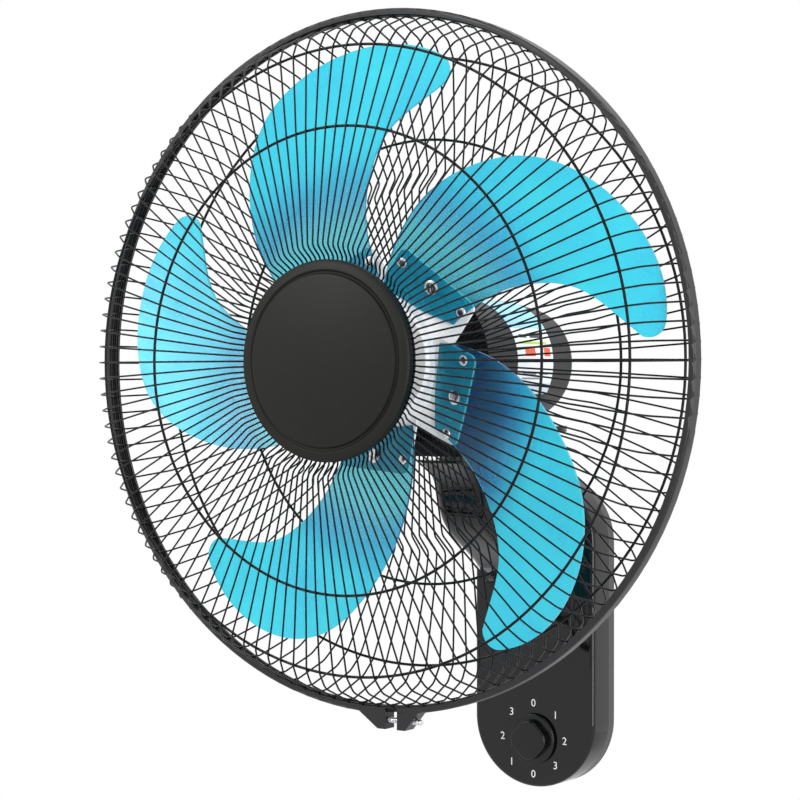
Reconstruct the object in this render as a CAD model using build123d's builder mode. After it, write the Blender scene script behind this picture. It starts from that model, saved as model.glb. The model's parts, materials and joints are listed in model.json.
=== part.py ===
from build123d import *
from math import acos, atan2, copysign, cos, degrees, hypot, pi, radians, sin, sqrt
import os

# A wall mounted oscillating fan. Millimetres, +Z up. The wall is the plane Y = 0,
# the fan blows towards -Y and the origin is the middle of the wall plate.
# "Out" is a distance from the wall. The head's own sizes are turned about its axis
# and given as (forward, radius), forward being measured from the hoop's middle plane.

# ---- Fits and clearances -------------------------------------------------------------
SEAT = 0.05        # gap between two pieces that rest on each other
RUN = 0.05         # radial gap of a turning pair
SLIP = 0.2         # radial gap round a screw or a bush
POCKET = 0.4       # gap round a piece that drops into a pocket
SWING = 0.4        # gap between pieces that move past each other

# ---- Places of the main axes ---------------------------------------------------------
AXIS_Z = 188.0     # height of the head's axis above the origin
HOOP_Y = -225.0    # middle plane of the hoop
PAN_Y = -117.0     # upright axis about which the head swings
TILT_Y = -48.0     # level axis about which the arm tilts
TILT_Z = 48.0

# ---- Base housing --------------------------------------------------------------------
BASE_W = 96.0
BASE_H = 220.0
BASE_OUT = 30.0
BASE_WALL = 2.5
BASE_EDGE = 3.0
SPLIT_OUT = 8.0
LIP_H = 3.0
LIP_T = 1.5
BACK_OUT = 2.0
BACK_T = 2.5
COVER_SCREW_X = 60.0
COVER_SCREW_Z = 140.0
COVER_SCREW_R = 1.75
COVER_SCREW_L = 16.0
COVER_BOSS_R = 4.5
HEAD_TO_SHANK = 1.9
SCREW_HEAD_H = 2.2

PLATE_W = 46.0
PLATE_H = 150.0
PLATE_T = 1.5
PLATE_CORNER = 6.0
WALL_HOLE_X = 28.0
WALL_HOLE_Z = 124.0
WALL_HOLE_R = 2.6
HOOK_Z = 34.0
HOOK_W = 16.0
HOOK_RISE = 9.0
SLOT_DROP = 8.0

# ---- Tilt clevis ---------------------------------------------------------------------
PAD_W = 54.0
PAD_H = 42.0
PAD_T = 3.0
PAD_CORNER = 10.0
CLEVIS_BITE = 8.0
HOLE_SPARE = 0.6
LUG_INNER = 14.0
LUG_T = 11.0
LUG_R = 14.0
LUG_FOOT = 17.0
PILLAR_X = 40.0
PILLAR_Z = 28.0
PILLAR_R = 6.0
CLEVIS_SCREW_R = 2.5
CLEVIS_HEAD_H = 2.6
TILT_BOLT_R = 4.0
TILT_HEAD_H = 5.5
TILT_TAIL = 2.0
WASHER_T = 1.6
WASHER_R = 8.5
HEX_R = 7.0

# ---- Speed switch and wiring pieces --------------------------------------------------
KNOB_UP = 34.0      # from the base's lower end to the knob's middle
SWITCH_SIDE = 30.0
SWITCH_CORNER = 2.0
SWITCH_DEEP = 15.0
BUSH_R = 5.0
BUSH_ROOT = 1.0
SWITCH_NUT_R = 8.0
SWITCH_NUT_T = 2.4
STEM_R = 3.0
STEM_OUT = 37.0
STEM_FLAT = 2.2
SKIRT_R = 18.0
SKIRT_LIFT = 0.8
SKIRT_OUT = 33.2
SKIRT_EDGE = 1.0
GRIP_SIDE = 25.0
GRIP_CORNER = 9.0
GRIP_OUT = 39.0
GRIP_EDGE = 1.6
CAPACITOR = (38.0, 24.0, 14.0)
CAPACITOR_Z = 2.0
CAPACITOR_CORNER = 3.0
GROMMET_R = 4.5
GROMMET_BORE = 3.2
GROMMET_OUT = 17.0
GROMMET_DEEP = 7.0

# ---- Neck arm and swing joint --------------------------------------------------------
ARM_W = 42.0
ARM_ROUND = 9.0
EYE_ANGLE = 30.0
EYE_SPARE = 2.0
CUP_Z = 123.5
CUP_RIM = 2.0
SPINDLE_R = 6.0
SPINDLE_BOTTOM = 92.0
SPINDLE_IN_COLLAR = 14.0
PAN_BUSH_R = 8.0
SWING_GAP = 2.5
GROOVE_Z = 104.0
GROOVE_H = 6.0
GROOVE_R = 4.5
GRUB_R = 2.4
GRUB_L = 15.0
THRUST_R = 20.0
THRUST_INSET = 1.0
POST_R = 3.0
POST_BOSS_R = 5.0
POST_BOTTOM = 86.0
POST_BOSS_TOP = 108.0

# ---- Motor ---------------------------------------------------------------------------
MOTOR_R = 42.5
MOTOR_WALL = 2.5
NOSE_R = 16.0
NOSE_FRONT = -36.0
MOTOR_FRONT = -48.0
MOTOR_EDGE_L = 5.0
MOTOR_EDGE_R = 6.0
FRONT_WALL = 3.0
FRONT_BEVEL_L = 3.0
FRONT_BEVEL_R = 4.0
CAN_FRONT = -98.0
CAN_BACK = -148.0
GEAR_PLATE_FRONT = -136.0
GEAR_PLATE_T = 3.0
REAR_BACK = -189.0
REAR_CORNER = 12.0
REAR_SHOULDER = -177.0
REAR_SHOULDER_R = 39.0
VENT_R = 17.0
VENT_L = 12.0
VENT_W = 2.6
VENTS = 14
BEARING_R = 11.0
BEARING_L = 8.0
BEARING_WALL = 2.0
BEARING_LIP = 3.0
SHAFT_R = 4.0
SHAFT_FRONT = 27.0
SHAFT_BACK = -172.0
STATOR_FRONT = -95.0
STATOR_L = 30.0
AIR_GAP = 0.4
ROTOR_R = 20.6
WINDING_IN = 23.5
WINDING_OUT = 31.0
WINDING_L = 9.0
WINDING_ROUND = 2.5
THROUGH_R = 36.5
THROUGH_SCREWS = 4
THROUGH_ANGLE = 45.0
THROUGH_SCREW_R = 2.0
THROUGH_BOSS_R = 3.4
THROUGH_HEAD_R = 3.2
THROUGH_TIP = -58.0
REAR_SCREW_AT = 28.0
REAR_SCREW_ANGLE = 110.0
REAR_SCREW_R = 1.5
REAR_POST_R = 3.5
SMALL_HEAD_H = 1.6
LABEL_T = 0.3
LABEL_FRONT_EDGE = 2.0
LABEL_BACK_EDGE = 1.0
LABEL_EDGE_X = 10.0
LABEL_LOW_Z = -21.0

# ---- Motor bracket -------------------------------------------------------------------
COLLAR_W = 50.0
COLLAR_FRONT = -156.0
COLLAR_BACK = -106.0
COLLAR_TOP = 166.0
COLLAR_ROUND = 3.0
BRACKET_SCREW_X = 34.0
BRACKET_SCREW_INSET = 7.0
BRACKET_SCREW_R = 2.0
BRACKET_HEAD_R = 3.8
BRACKET_HEAD_H = 4.0
BRACKET_BITE = 1.6

# ---- Swing gear ----------------------------------------------------------------------
WORM_AT = -160.0
WORM_L = 15.0
WORM_ROOT_R = 5.0
WORM_TIP_R = 6.4
WORM_PITCH = 3.0
THREAD_TURNS = 4
QUARTER_TURN = 0.25
THREAD_TIP_W = 0.6
THREAD_ROOT_W = 1.1
THREAD_BURY = 0.4
TOOTH_BURY = 0.5
WHEEL_TEETH = 30
WHEEL_T = 4.0
WHEEL_ADDENDUM = 0.5
WHEEL_TIP_GAP = 0.5
WHEEL_DEPTH = 1.5
TOOTH_SHARE = 0.28
CRANK_SHAFT_R = 3.0
SHELF_ROOT = 1.0
SHELF_END = 10.5
SHELF_T = 3.0
SHELF_TOP_Z = 6.0
SHELF_LOW_Z = -9.0
SHELF_W = 17.0
CRANK_THROW = 19.0
CRANK_RIM = 3.6
CRANK_TOP = 145.0
CRANK_T = 4.0
CRANK_PIN_R = 2.5
ROCKER = 32.0
ROCKER_ANGLE = 54.0
LINK_L = 45.8
LINK_W = 9.0
LINK_T = 3.8
LINK_SCREW_R = 2.0
LINK_SCREW_HEAD_R = 3.4

# ---- Guards --------------------------------------------------------------------------
SPOKES = 120
SPOKE_R = 0.6
SPOKE_BEND = 5.0
KNEE_BEND = 12.0
RING_R = 0.9
BEND_SPARE = 0.1
END_RING_R = 2.0
SPOKE_END = 0.7
END_RUN = 5.0
KNEE_GAP = 10.0
KNEE_FORWARD = 29.5
OUTER_RING_GAP = 20.7
OUTER_RING_FORWARD = 35.4
MID_RING = 144.4
MID_RING_FORWARD = 47.3
CAP_RING = 58.5
DISH_TOP_R = 71.0
DISH_TOP = 63.2
DIP_R = 64.0
DIP = 56.2
SPOKE_TIP_R = 56.0
REAR_MID_FORWARD = -51.4
REAR_OUTER_FORWARD = -36.6
STEP_OUT_R = 124.0
STEP_OUT = -57.4
STEP_IN_R = 113.0
REAR_TIP_R = 44.0
HOOP_R = 222.0
HOOP_T = 1.0
HOOP_LIP = 4.0
HOOP_ROUND = 2.0
HOOP_GAP_X = 11.75
HOOP_GAP = 8.5
LUG_DROP = 9.4
LUG_FLAT = 6.0
LEFT_LUG_RUN = 21.0
RIGHT_LUG_RUN = 16.5
LUG_INSET = 0.3
CLAMP_SCREW_R = 1.9
CLAMP_DROP = 4.0
CLAMP_HEAD_R = 3.5
CLAMP_HEAD_H = 3.0
CLAMP_TAIL = 31.5
CLAMP_POCKET_IN = 5.5

GUARD_PLATE_R = 52.0
GUARD_PLATE_T = 1.2
LOCK_NUT_R = 28.0
LOCK_NUT_T = 7.0
LOCK_NUT_LOBES = 12
LOCK_NUT_SCALLOP = 2.2

# ---- Front cap -----------------------------------------------------------------------
CAP_R = 62.0
CAP_RIM = 62.4
CAP_WALL = 2.2
CAP_ROUND = 1.5
CAP_RISE = 0.6
CAP_LAND = 1.0
CAP_FACE_R = 53.5
CAP_FACE = 64.4
CAP_EDGE = 0.6
CAP_BEVEL = 2.0
CAP_WEB = 3.0
CAP_GROOVE = 1.2
CAP_GROOVE_DEEP = 1.0
CAP_BOSS_AT = 40.0
CAP_BOSS_R = 4.0
CAP_SCREW_R = 1.5
CAP_SCREWS = 3
BACK_PLATE_R = 60.5
BACK_PLATE_T = 1.7

# ---- Blades and hub ------------------------------------------------------------------
BLADES = 5
TIP_GAP = 21.36     # from the blade's furthest point to the outside of the hoop
BLADE_SPARE = 30.0  # what the curved slab is larger than the blade cut from it
BLADE_DEEP = 60.0   # more than the blade's depth along the axis, each way
DRILL_DEEP = 12.0
BLADE_ANGLE = 50.0
BLADE_T = 2.0
BLADE_CAMBER_R = 456.0
BLADE_PITCH = 13.75
BLADE_LEAN = 38.0
ROOT_S = 60.0
ROOT_FORWARD = -2.4
ROOT_PITCH = 24.5
BLADE_HOLE_R = 2.2
LEAF_T = 1.6
LEAF_W = 60.0
LEAF_IN = 32.0
LEAF_OUT = 69.0
LEAF_CORNER = 5.0
DRUM_R = 40.0
DRUM_FRONT = 6.0
DRUM_BACK = -14.0
DRUM_WALL = 2.5
BOSS_R = 11.0
BOSS_FRONT = 13.0
BOSS_DRAFT = 1.0
DRUM_ROUND = 2.0
BLADE_SCREW_R = 2.15
BLADE_SCREW_L = 6.5
BLADE_SCREW_HEAD_R = 4.6
BLADE_SCREW_HEAD_H = 1.8
RIVET_HEAD_R = 3.4
RIVET_HEAD_H = 1.2
RIVET_R = 2.15
SPINNER_R = 18.0
SPINNER_FRONT = 36.0
SPINNER_NOSE_R = 9.0
SPINNER_RIBS = 10
SPINNER_WAIST = 9.0
SPINNER_DRAFT = 1.0
SPINNER_TIP = 2.0
SPINNER_TIP_R = 3.0
RIB_GAP_R = 2.4

# Outline of one blade, (outward, sideways) from the hub's axis; the root is at the hub.
BLADE_SWEPT_EDGE = (
    (38.0, -27.5), (61.0, -33.4), (88.0, -34.6), (114.0, -29.4), (134.0, -20.0),
    (155.0, -4.6), (172.0, 16.0), (181.5, 45.0), (180.0, 80.0), (163.0, 117.0),
    (143.0, 134.5),
)
BLADE_HOOK_EDGE = (
    (126.5, 128.5), (126.0, 107.0), (123.2, 80.5), (106.3, 53.7), (89.1, 39.2),
    (68.0, 29.0), (50.0, 24.0),
)
BLADE_ROOT_EDGE = (43.0, 2.0)

# Edges of the neck arm seen from the side, as (Y, Z).
ARM_FRONT_EDGE = (
    (-154.0, 121.5), (-143.5, 115.5), (-134.0, 106.5), (-129.0, 94.0), (-123.5, 81.0),
    (-113.0, 70.5), (-97.0, 60.0), (-78.0, 47.0),
)
ARM_BACK_EDGE = ((-107.0, 121.5), (-98.0, 104.0), (-84.0, 90.0), (-64.0, 75.0))

# ---- Places worked out from the sizes above -------------------------------------------
knob_z = KNOB_UP - BASE_H / 2
end_ring_r = HOOP_R - HOOP_T - SEAT - END_RING_R
end_ring_forward = END_RING_R + SEAT + SLIP
hoop_half = end_ring_forward + END_RING_R + SEAT + HOOP_T
spoke_end_r = end_ring_r - END_RING_R - SEAT - SPOKE_R
outer_ring = spoke_end_r - OUTER_RING_GAP
knee_r = spoke_end_r - KNEE_GAP
cap_seat = DIP + SPOKE_R + SEAT
back_seat = DIP - SPOKE_R - 2 * RING_R - 2 * SEAT
back_face_out = BACK_OUT + BACK_T
cover_back_out = BASE_OUT - BASE_WALL
guard_plate_back = MOTOR_FRONT + SEAT
guard_plate_front = guard_plate_back + GUARD_PLATE_T
step_in = guard_plate_front + SEAT + SPOKE_R
collar_bottom = CUP_Z + SWING_GAP
spindle_top = collar_bottom + SPINDLE_IN_COLLAR
gear_plate_back = GEAR_PLATE_FRONT - GEAR_PLATE_T
stator_back = STATOR_FRONT - STATOR_L
worm_y = HOOP_Y - WORM_AT
wheel_pitch_r = WHEEL_TEETH * WORM_PITCH / (2 * pi)
wheel_tip_r = wheel_pitch_r + WHEEL_ADDENDUM
crank_x = wheel_tip_r + WHEEL_TIP_GAP + WORM_ROOT_R
post_angle = degrees(atan2(crank_x, worm_y - PAN_Y)) - ROCKER_ANGLE
post_x = ROCKER * sin(radians(post_angle))
post_y = PAN_Y + ROCKER * cos(radians(post_angle))
crank_low = CRANK_TOP - CRANK_T
link_top = crank_low - SEAT
link_bottom = link_top - LINK_T
post_top = link_bottom - SWING
pin_far = hypot(crank_x - post_x, worm_y - post_y)
pin_lead = acos((pin_far**2 + LINK_L**2 - CRANK_THROW**2) / (2 * pin_far * LINK_L))
link_turn = atan2(worm_y - post_y, crank_x - post_x) - pin_lead
pin_x = post_x + LINK_L * cos(link_turn)
pin_y = post_y + LINK_L * sin(link_turn)

# ---- Planes and axes -----------------------------------------------------------------
HEAD_AXIS = Axis((0, HOOP_Y, AXIS_Z), (0, -1, 0))
head_side = Plane(origin=(0, HOOP_Y, AXIS_Z), x_dir=(0, -1, 0), z_dir=(-1, 0, 0))


def out_plane(distance, x=0.0, z=0.0):
    """Plane facing the room at a distance from the wall; its axes are X and Z."""
    return Plane(origin=(x, -distance, z), x_dir=(1, 0, 0), z_dir=(0, -1, 0))


def head_plane(forward, angle=0.0):
    """Plane across the head's axis, its own x turned anticlockwise seen from the front."""
    x_dir = (cos(radians(angle)), 0, sin(radians(angle)))
    return Plane(origin=(0, HOOP_Y - forward, AXIS_Z), x_dir=x_dir, z_dir=(0, -1, 0))


def level_plane(height, x=0.0, y=0.0):
    """Level plane facing up."""
    return Plane(origin=(x, y, height), x_dir=(1, 0, 0), z_dir=(0, 0, 1))


def turn_profile(points):
    """Turns a closed outline of (forward, radius) points about the head's axis."""
    with BuildSketch(head_side) as outline:
        with BuildLine():
            Polyline(*points, close=True)
        make_face()
    revolve(outline.sketch, axis=HEAD_AXIS)


def ring_profile(back, front, inner, outer):
    """Turns a plain ring about the head's axis."""
    turn_profile([(back, inner), (front, inner), (front, outer), (back, outer)])


def disc(plane, radius, height, mode=Mode.ADD):
    """Round bar or bore standing on a plane."""
    with BuildSketch(plane) as outline:
        Circle(radius)
    extrude(outline.sketch, amount=height, mode=mode)


def hexagon_bar(plane, radius, height, mode=Mode.ADD):
    """Six sided bar standing on a plane."""
    with BuildSketch(plane) as outline:
        RegularPolygon(radius, 6)
    extrude(outline.sketch, amount=height, mode=mode)


def stadium(plane, inset, height, mode=Mode.ADD):
    """Upright slab with half round ends, smaller than the base by the inset all round."""
    with BuildSketch(plane) as outline:
        SlotOverall(BASE_H - 2 * inset, BASE_W - 2 * inset, rotation=90)
    extrude(outline.sketch, amount=height, mode=mode)


# ---- Wall plate ----------------------------------------------------------------------
with BuildPart() as wall_plate:
    with BuildSketch(out_plane(0)):
        RectangleRounded(PLATE_W, PLATE_H, PLATE_CORNER)
        with GridLocations(WALL_HOLE_X, WALL_HOLE_Z, 2, 2):
            Circle(WALL_HOLE_R, mode=Mode.SUBTRACT)
    extrude(amount=PLATE_T)
    for hook_z in (HOOK_Z, -HOOK_Z):
        with BuildSketch(out_plane(PLATE_T, z=hook_z)):
            Rectangle(HOOK_W, PLATE_T, align=(Align.CENTER, Align.MIN))
        extrude(amount=back_face_out + SEAT)
        with BuildSketch(out_plane(back_face_out + SEAT, z=hook_z)):
            Rectangle(HOOK_W, HOOK_RISE, align=(Align.CENTER, Align.MIN))
        extrude(amount=PLATE_T)

# ---- Rear half of the base ------------------------------------------------------------
with BuildPart() as rear_housing:
    stadium(out_plane(0), 0, SPLIT_OUT)
    stadium(out_plane(back_face_out), BASE_WALL, SPLIT_OUT, mode=Mode.SUBTRACT)
    stadium(out_plane(back_face_out), BASE_WALL + SLIP, SPLIT_OUT + LIP_H - back_face_out)
    stadium(
        out_plane(back_face_out), BASE_WALL + SLIP + LIP_T, SPLIT_OUT + LIP_H, mode=Mode.SUBTRACT
    )
    with BuildSketch(out_plane(0)):
        RectangleRounded(PLATE_W + 2 * POCKET, PLATE_H + 2 * POCKET, PLATE_CORNER + POCKET)
    extrude(amount=BACK_OUT, mode=Mode.SUBTRACT)
    for hook_z in (HOOK_Z, -HOOK_Z):
        with BuildSketch(out_plane(0, z=hook_z + PLATE_T + SEAT)):
            Rectangle(HOOK_W + 2 * POCKET, SLOT_DROP, align=(Align.CENTER, Align.MAX))
        extrude(amount=back_face_out, mode=Mode.SUBTRACT)
    with BuildSketch(out_plane(back_face_out)):
        with Locations((0, TILT_Z)):
            with GridLocations(PILLAR_X, PILLAR_Z, 2, 2):
                Circle(PILLAR_R)
    extrude(amount=cover_back_out - SEAT - back_face_out)
    with BuildSketch(out_plane(0)):
        with Locations((0, TILT_Z)):
            with GridLocations(PILLAR_X, PILLAR_Z, 2, 2):
                Circle(CLEVIS_SCREW_R + SLIP)
    extrude(amount=BASE_OUT, mode=Mode.SUBTRACT)
    with BuildSketch(out_plane(BACK_OUT)):
        with Locations((0, TILT_Z)):
            with GridLocations(PILLAR_X, PILLAR_Z, 2, 2):
                Circle(CLEVIS_SCREW_R * HEAD_TO_SHANK + SLIP)
    extrude(amount=CLEVIS_HEAD_H + POCKET, mode=Mode.SUBTRACT)
    with BuildSketch(out_plane(0)):
        with GridLocations(COVER_SCREW_X, COVER_SCREW_Z, 2, 2):
            Circle(COVER_SCREW_R + SLIP)
    extrude(amount=SPLIT_OUT, mode=Mode.SUBTRACT)
    with BuildSketch(out_plane(0)):
        with GridLocations(COVER_SCREW_X, COVER_SCREW_Z, 2, 2):
            Circle(COVER_SCREW_R * HEAD_TO_SHANK + SLIP)
    extrude(amount=BACK_OUT + SEAT, mode=Mode.SUBTRACT)

# ---- Front half of the base -----------------------------------------------------------
with BuildPart() as front_cover:
    stadium(out_plane(SPLIT_OUT + SEAT), 0, BASE_OUT - SPLIT_OUT - SEAT)
    front_rim = front_cover.faces().sort_by(Axis.Y)[0].edges()
    fillet(front_rim, BASE_EDGE)
    stadium(out_plane(0), BASE_WALL, cover_back_out, mode=Mode.SUBTRACT)
    with BuildSketch(out_plane(back_face_out + SEAT)):
        with GridLocations(COVER_SCREW_X, COVER_SCREW_Z, 2, 2):
            Circle(COVER_BOSS_R)
    extrude(amount=cover_back_out - back_face_out)
    with BuildSketch(out_plane(0)):
        with GridLocations(COVER_SCREW_X, COVER_SCREW_Z, 2, 2):
            Circle(COVER_SCREW_R)
    extrude(amount=BACK_OUT + SEAT + COVER_SCREW_L + POCKET, mode=Mode.SUBTRACT)
    with BuildSketch(out_plane(0)):
        with Locations((0, knob_z)):
            Circle(BUSH_R + SLIP)
        with Locations((0, TILT_Z)):
            with GridLocations(PILLAR_X, PILLAR_Z, 2, 2):
                Circle(CLEVIS_SCREW_R + SLIP)
    extrude(amount=BASE_OUT, mode=Mode.SUBTRACT)
    disc(level_plane(-BASE_H / 2, y=-GROMMET_OUT), GROMMET_R, GROMMET_DEEP, mode=Mode.SUBTRACT)

# ---- Screws that hold the two halves together -------------------------------------------
with BuildPart() as cover_screws:
    cover_seat = BACK_OUT + SEAT
    with BuildSketch(out_plane(cover_seat - SCREW_HEAD_H + 2 * SEAT)):
        with GridLocations(COVER_SCREW_X, COVER_SCREW_Z, 2, 2):
            Circle(COVER_SCREW_R * HEAD_TO_SHANK)
    extrude(amount=SCREW_HEAD_H - 3 * SEAT)
    with BuildSketch(out_plane(cover_seat - 2 * SEAT)):
        with GridLocations(COVER_SCREW_X, COVER_SCREW_Z, 2, 2):
            Circle(COVER_SCREW_R - SEAT / 2)
    extrude(amount=COVER_SCREW_L)

# ---- Tilt clevis on the front of the base -----------------------------------------------
with BuildPart() as tilt_clevis:
    pad_out = BASE_OUT + SEAT
    with BuildSketch(out_plane(pad_out, z=TILT_Z)):
        RectangleRounded(PAD_W, PAD_H, PAD_CORNER)
    extrude(amount=PAD_T)
    lug_side = Plane(origin=(LUG_INNER, TILT_Y, TILT_Z), x_dir=(0, 1, 0), z_dir=(1, 0, 0))
    pad_face = -TILT_Y - pad_out - PAD_T / 2
    with BuildSketch(lug_side):
        Circle(LUG_R)
        with BuildLine():
            Polyline(
                (0, LUG_R), (pad_face, LUG_FOOT), (pad_face, -LUG_FOOT), (0, -LUG_R), close=True
            )
        make_face()
    extrude(amount=LUG_T)
    mirror(about=Plane.YZ)
    bolt_side = Plane(origin=(-BASE_W, TILT_Y, TILT_Z), x_dir=(0, 1, 0), z_dir=(1, 0, 0))
    disc(bolt_side, TILT_BOLT_R + RUN, 2 * BASE_W, mode=Mode.SUBTRACT)
    with BuildSketch(out_plane(0)):
        with Locations((0, TILT_Z)):
            with GridLocations(PILLAR_X, PILLAR_Z, 2, 2):
                Circle(CLEVIS_SCREW_R + SEAT)
    extrude(amount=pad_out + CLEVIS_BITE + HOLE_SPARE, mode=Mode.SUBTRACT)

with BuildPart() as clevis_screws:
    clevis_head_out = BACK_OUT + POCKET
    with BuildSketch(out_plane(clevis_head_out)):
        with Locations((0, TILT_Z)):
            with GridLocations(PILLAR_X, PILLAR_Z, 2, 2):
                Circle(CLEVIS_SCREW_R * HEAD_TO_SHANK)
    extrude(amount=CLEVIS_HEAD_H - SEAT)
    with BuildSketch(out_plane(clevis_head_out)):
        with Locations((0, TILT_Z)):
            with GridLocations(PILLAR_X, PILLAR_Z, 2, 2):
                Circle(CLEVIS_SCREW_R)
    extrude(amount=pad_out + CLEVIS_BITE - clevis_head_out)

# ---- Tilt bolt, washers and nut ---------------------------------------------------------
lug_outer = LUG_INNER + LUG_T
head_inner = lug_outer + WASHER_T + 2 * SEAT


def across(x):
    """Plane across the tilt bolt, facing +X."""
    return Plane(origin=(x, TILT_Y, TILT_Z), x_dir=(0, 1, 0), z_dir=(1, 0, 0))


with BuildPart() as tilt_bolt:
    disc(across(-head_inner), TILT_BOLT_R, 2 * head_inner + TILT_HEAD_H + TILT_TAIL)
    hexagon_bar(across(-head_inner - TILT_HEAD_H), HEX_R, TILT_HEAD_H)

with BuildPart() as tilt_washers:
    for washer_x in (-lug_outer - SEAT - WASHER_T, lug_outer + SEAT):
        with BuildSketch(across(washer_x)):
            Circle(WASHER_R)
            Circle(TILT_BOLT_R + SLIP, mode=Mode.SUBTRACT)
        extrude(amount=WASHER_T)

with BuildPart() as tilt_nut:
    hexagon_bar(across(head_inner), HEX_R, TILT_HEAD_H)
    disc(across(head_inner), TILT_BOLT_R + SEAT / 2, TILT_HEAD_H, mode=Mode.SUBTRACT)

# ---- Speed switch -----------------------------------------------------------------------
with BuildPart() as rotary_switch:
    with BuildSketch(out_plane(cover_back_out - SEAT - SWITCH_DEEP, z=knob_z)):
        RectangleRounded(SWITCH_SIDE, SWITCH_SIDE, SWITCH_CORNER)
    extrude(amount=SWITCH_DEEP)
    disc(
        out_plane(cover_back_out - BUSH_ROOT, z=knob_z), BUSH_R,
        BASE_WALL + SWITCH_NUT_T + BUSH_ROOT,
    )
    disc(
        out_plane(cover_back_out - SWITCH_DEEP / 2, z=knob_z), STEM_R + RUN, BASE_OUT, Mode.SUBTRACT
    )

with BuildPart() as switch_nut:
    hexagon_bar(out_plane(BASE_OUT + SEAT, z=knob_z), SWITCH_NUT_R, SWITCH_NUT_T - SEAT)
    disc(out_plane(BASE_OUT, z=knob_z), BUSH_R + SEAT / 2, 2 * SWITCH_NUT_T, Mode.SUBTRACT)

with BuildPart() as switch_stem:
    stem_back = cover_back_out - SWITCH_DEEP / 2 + RUN
    disc(out_plane(stem_back, z=knob_z), STEM_R, STEM_OUT - stem_back)
    with BuildSketch(out_plane(SKIRT_OUT, z=knob_z + STEM_FLAT)):
        Rectangle(2 * STEM_R, 2 * STEM_R, align=(Align.CENTER, Align.MIN))
    extrude(amount=STEM_OUT - SKIRT_OUT, mode=Mode.SUBTRACT)

with BuildPart() as speed_knob:
    disc(out_plane(BASE_OUT + SKIRT_LIFT, z=knob_z), SKIRT_R, SKIRT_OUT - BASE_OUT - SKIRT_LIFT)
    skirt_rim = speed_knob.faces().sort_by(Axis.Y)[0].edges()
    fillet(skirt_rim, SKIRT_EDGE)
    with BuildSketch(out_plane(BASE_OUT + SKIRT_LIFT, z=knob_z)):
        RectangleRounded(GRIP_SIDE, GRIP_SIDE, GRIP_CORNER, rotation=45)
    extrude(amount=GRIP_OUT - BASE_OUT - SKIRT_LIFT)
    grip_rim = speed_knob.faces().sort_by(Axis.Y)[0].edges()
    fillet(grip_rim, GRIP_EDGE)
    disc(
        out_plane(BASE_OUT, z=knob_z), SWITCH_NUT_R + POCKET, SWITCH_NUT_T + POCKET, Mode.SUBTRACT
    )
    stem_hole_l = SKIRT_OUT + SEAT - BASE_OUT
    disc(out_plane(BASE_OUT, z=knob_z), STEM_R + SEAT / 2, stem_hole_l, Mode.SUBTRACT)
    with BuildSketch(out_plane(SKIRT_OUT, z=knob_z)):
        Circle(STEM_R + SEAT / 2)
        with Locations((0, STEM_FLAT + SEAT / 2)):
            Rectangle(2 * SKIRT_R, STEM_R, align=(Align.CENTER, Align.MIN), mode=Mode.SUBTRACT)
    extrude(amount=STEM_OUT + SEAT - SKIRT_OUT, mode=Mode.SUBTRACT)

# ---- Wiring pieces inside the base ------------------------------------------------------
with BuildPart() as run_capacitor:
    with BuildSketch(out_plane(back_face_out + SEAT, z=CAPACITOR_Z)):
        RectangleRounded(CAPACITOR[0], CAPACITOR[1], CAPACITOR_CORNER)
    extrude(amount=CAPACITOR[2])

with BuildPart() as cord_grommet:
    grommet_base = level_plane(-BASE_H / 2 + POCKET, y=-GROMMET_OUT)
    with BuildSketch(grommet_base):
        Circle(GROMMET_R - SEAT / 2)
        Circle(GROMMET_BORE, mode=Mode.SUBTRACT)
    extrude(amount=GROMMET_DEEP)

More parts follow.
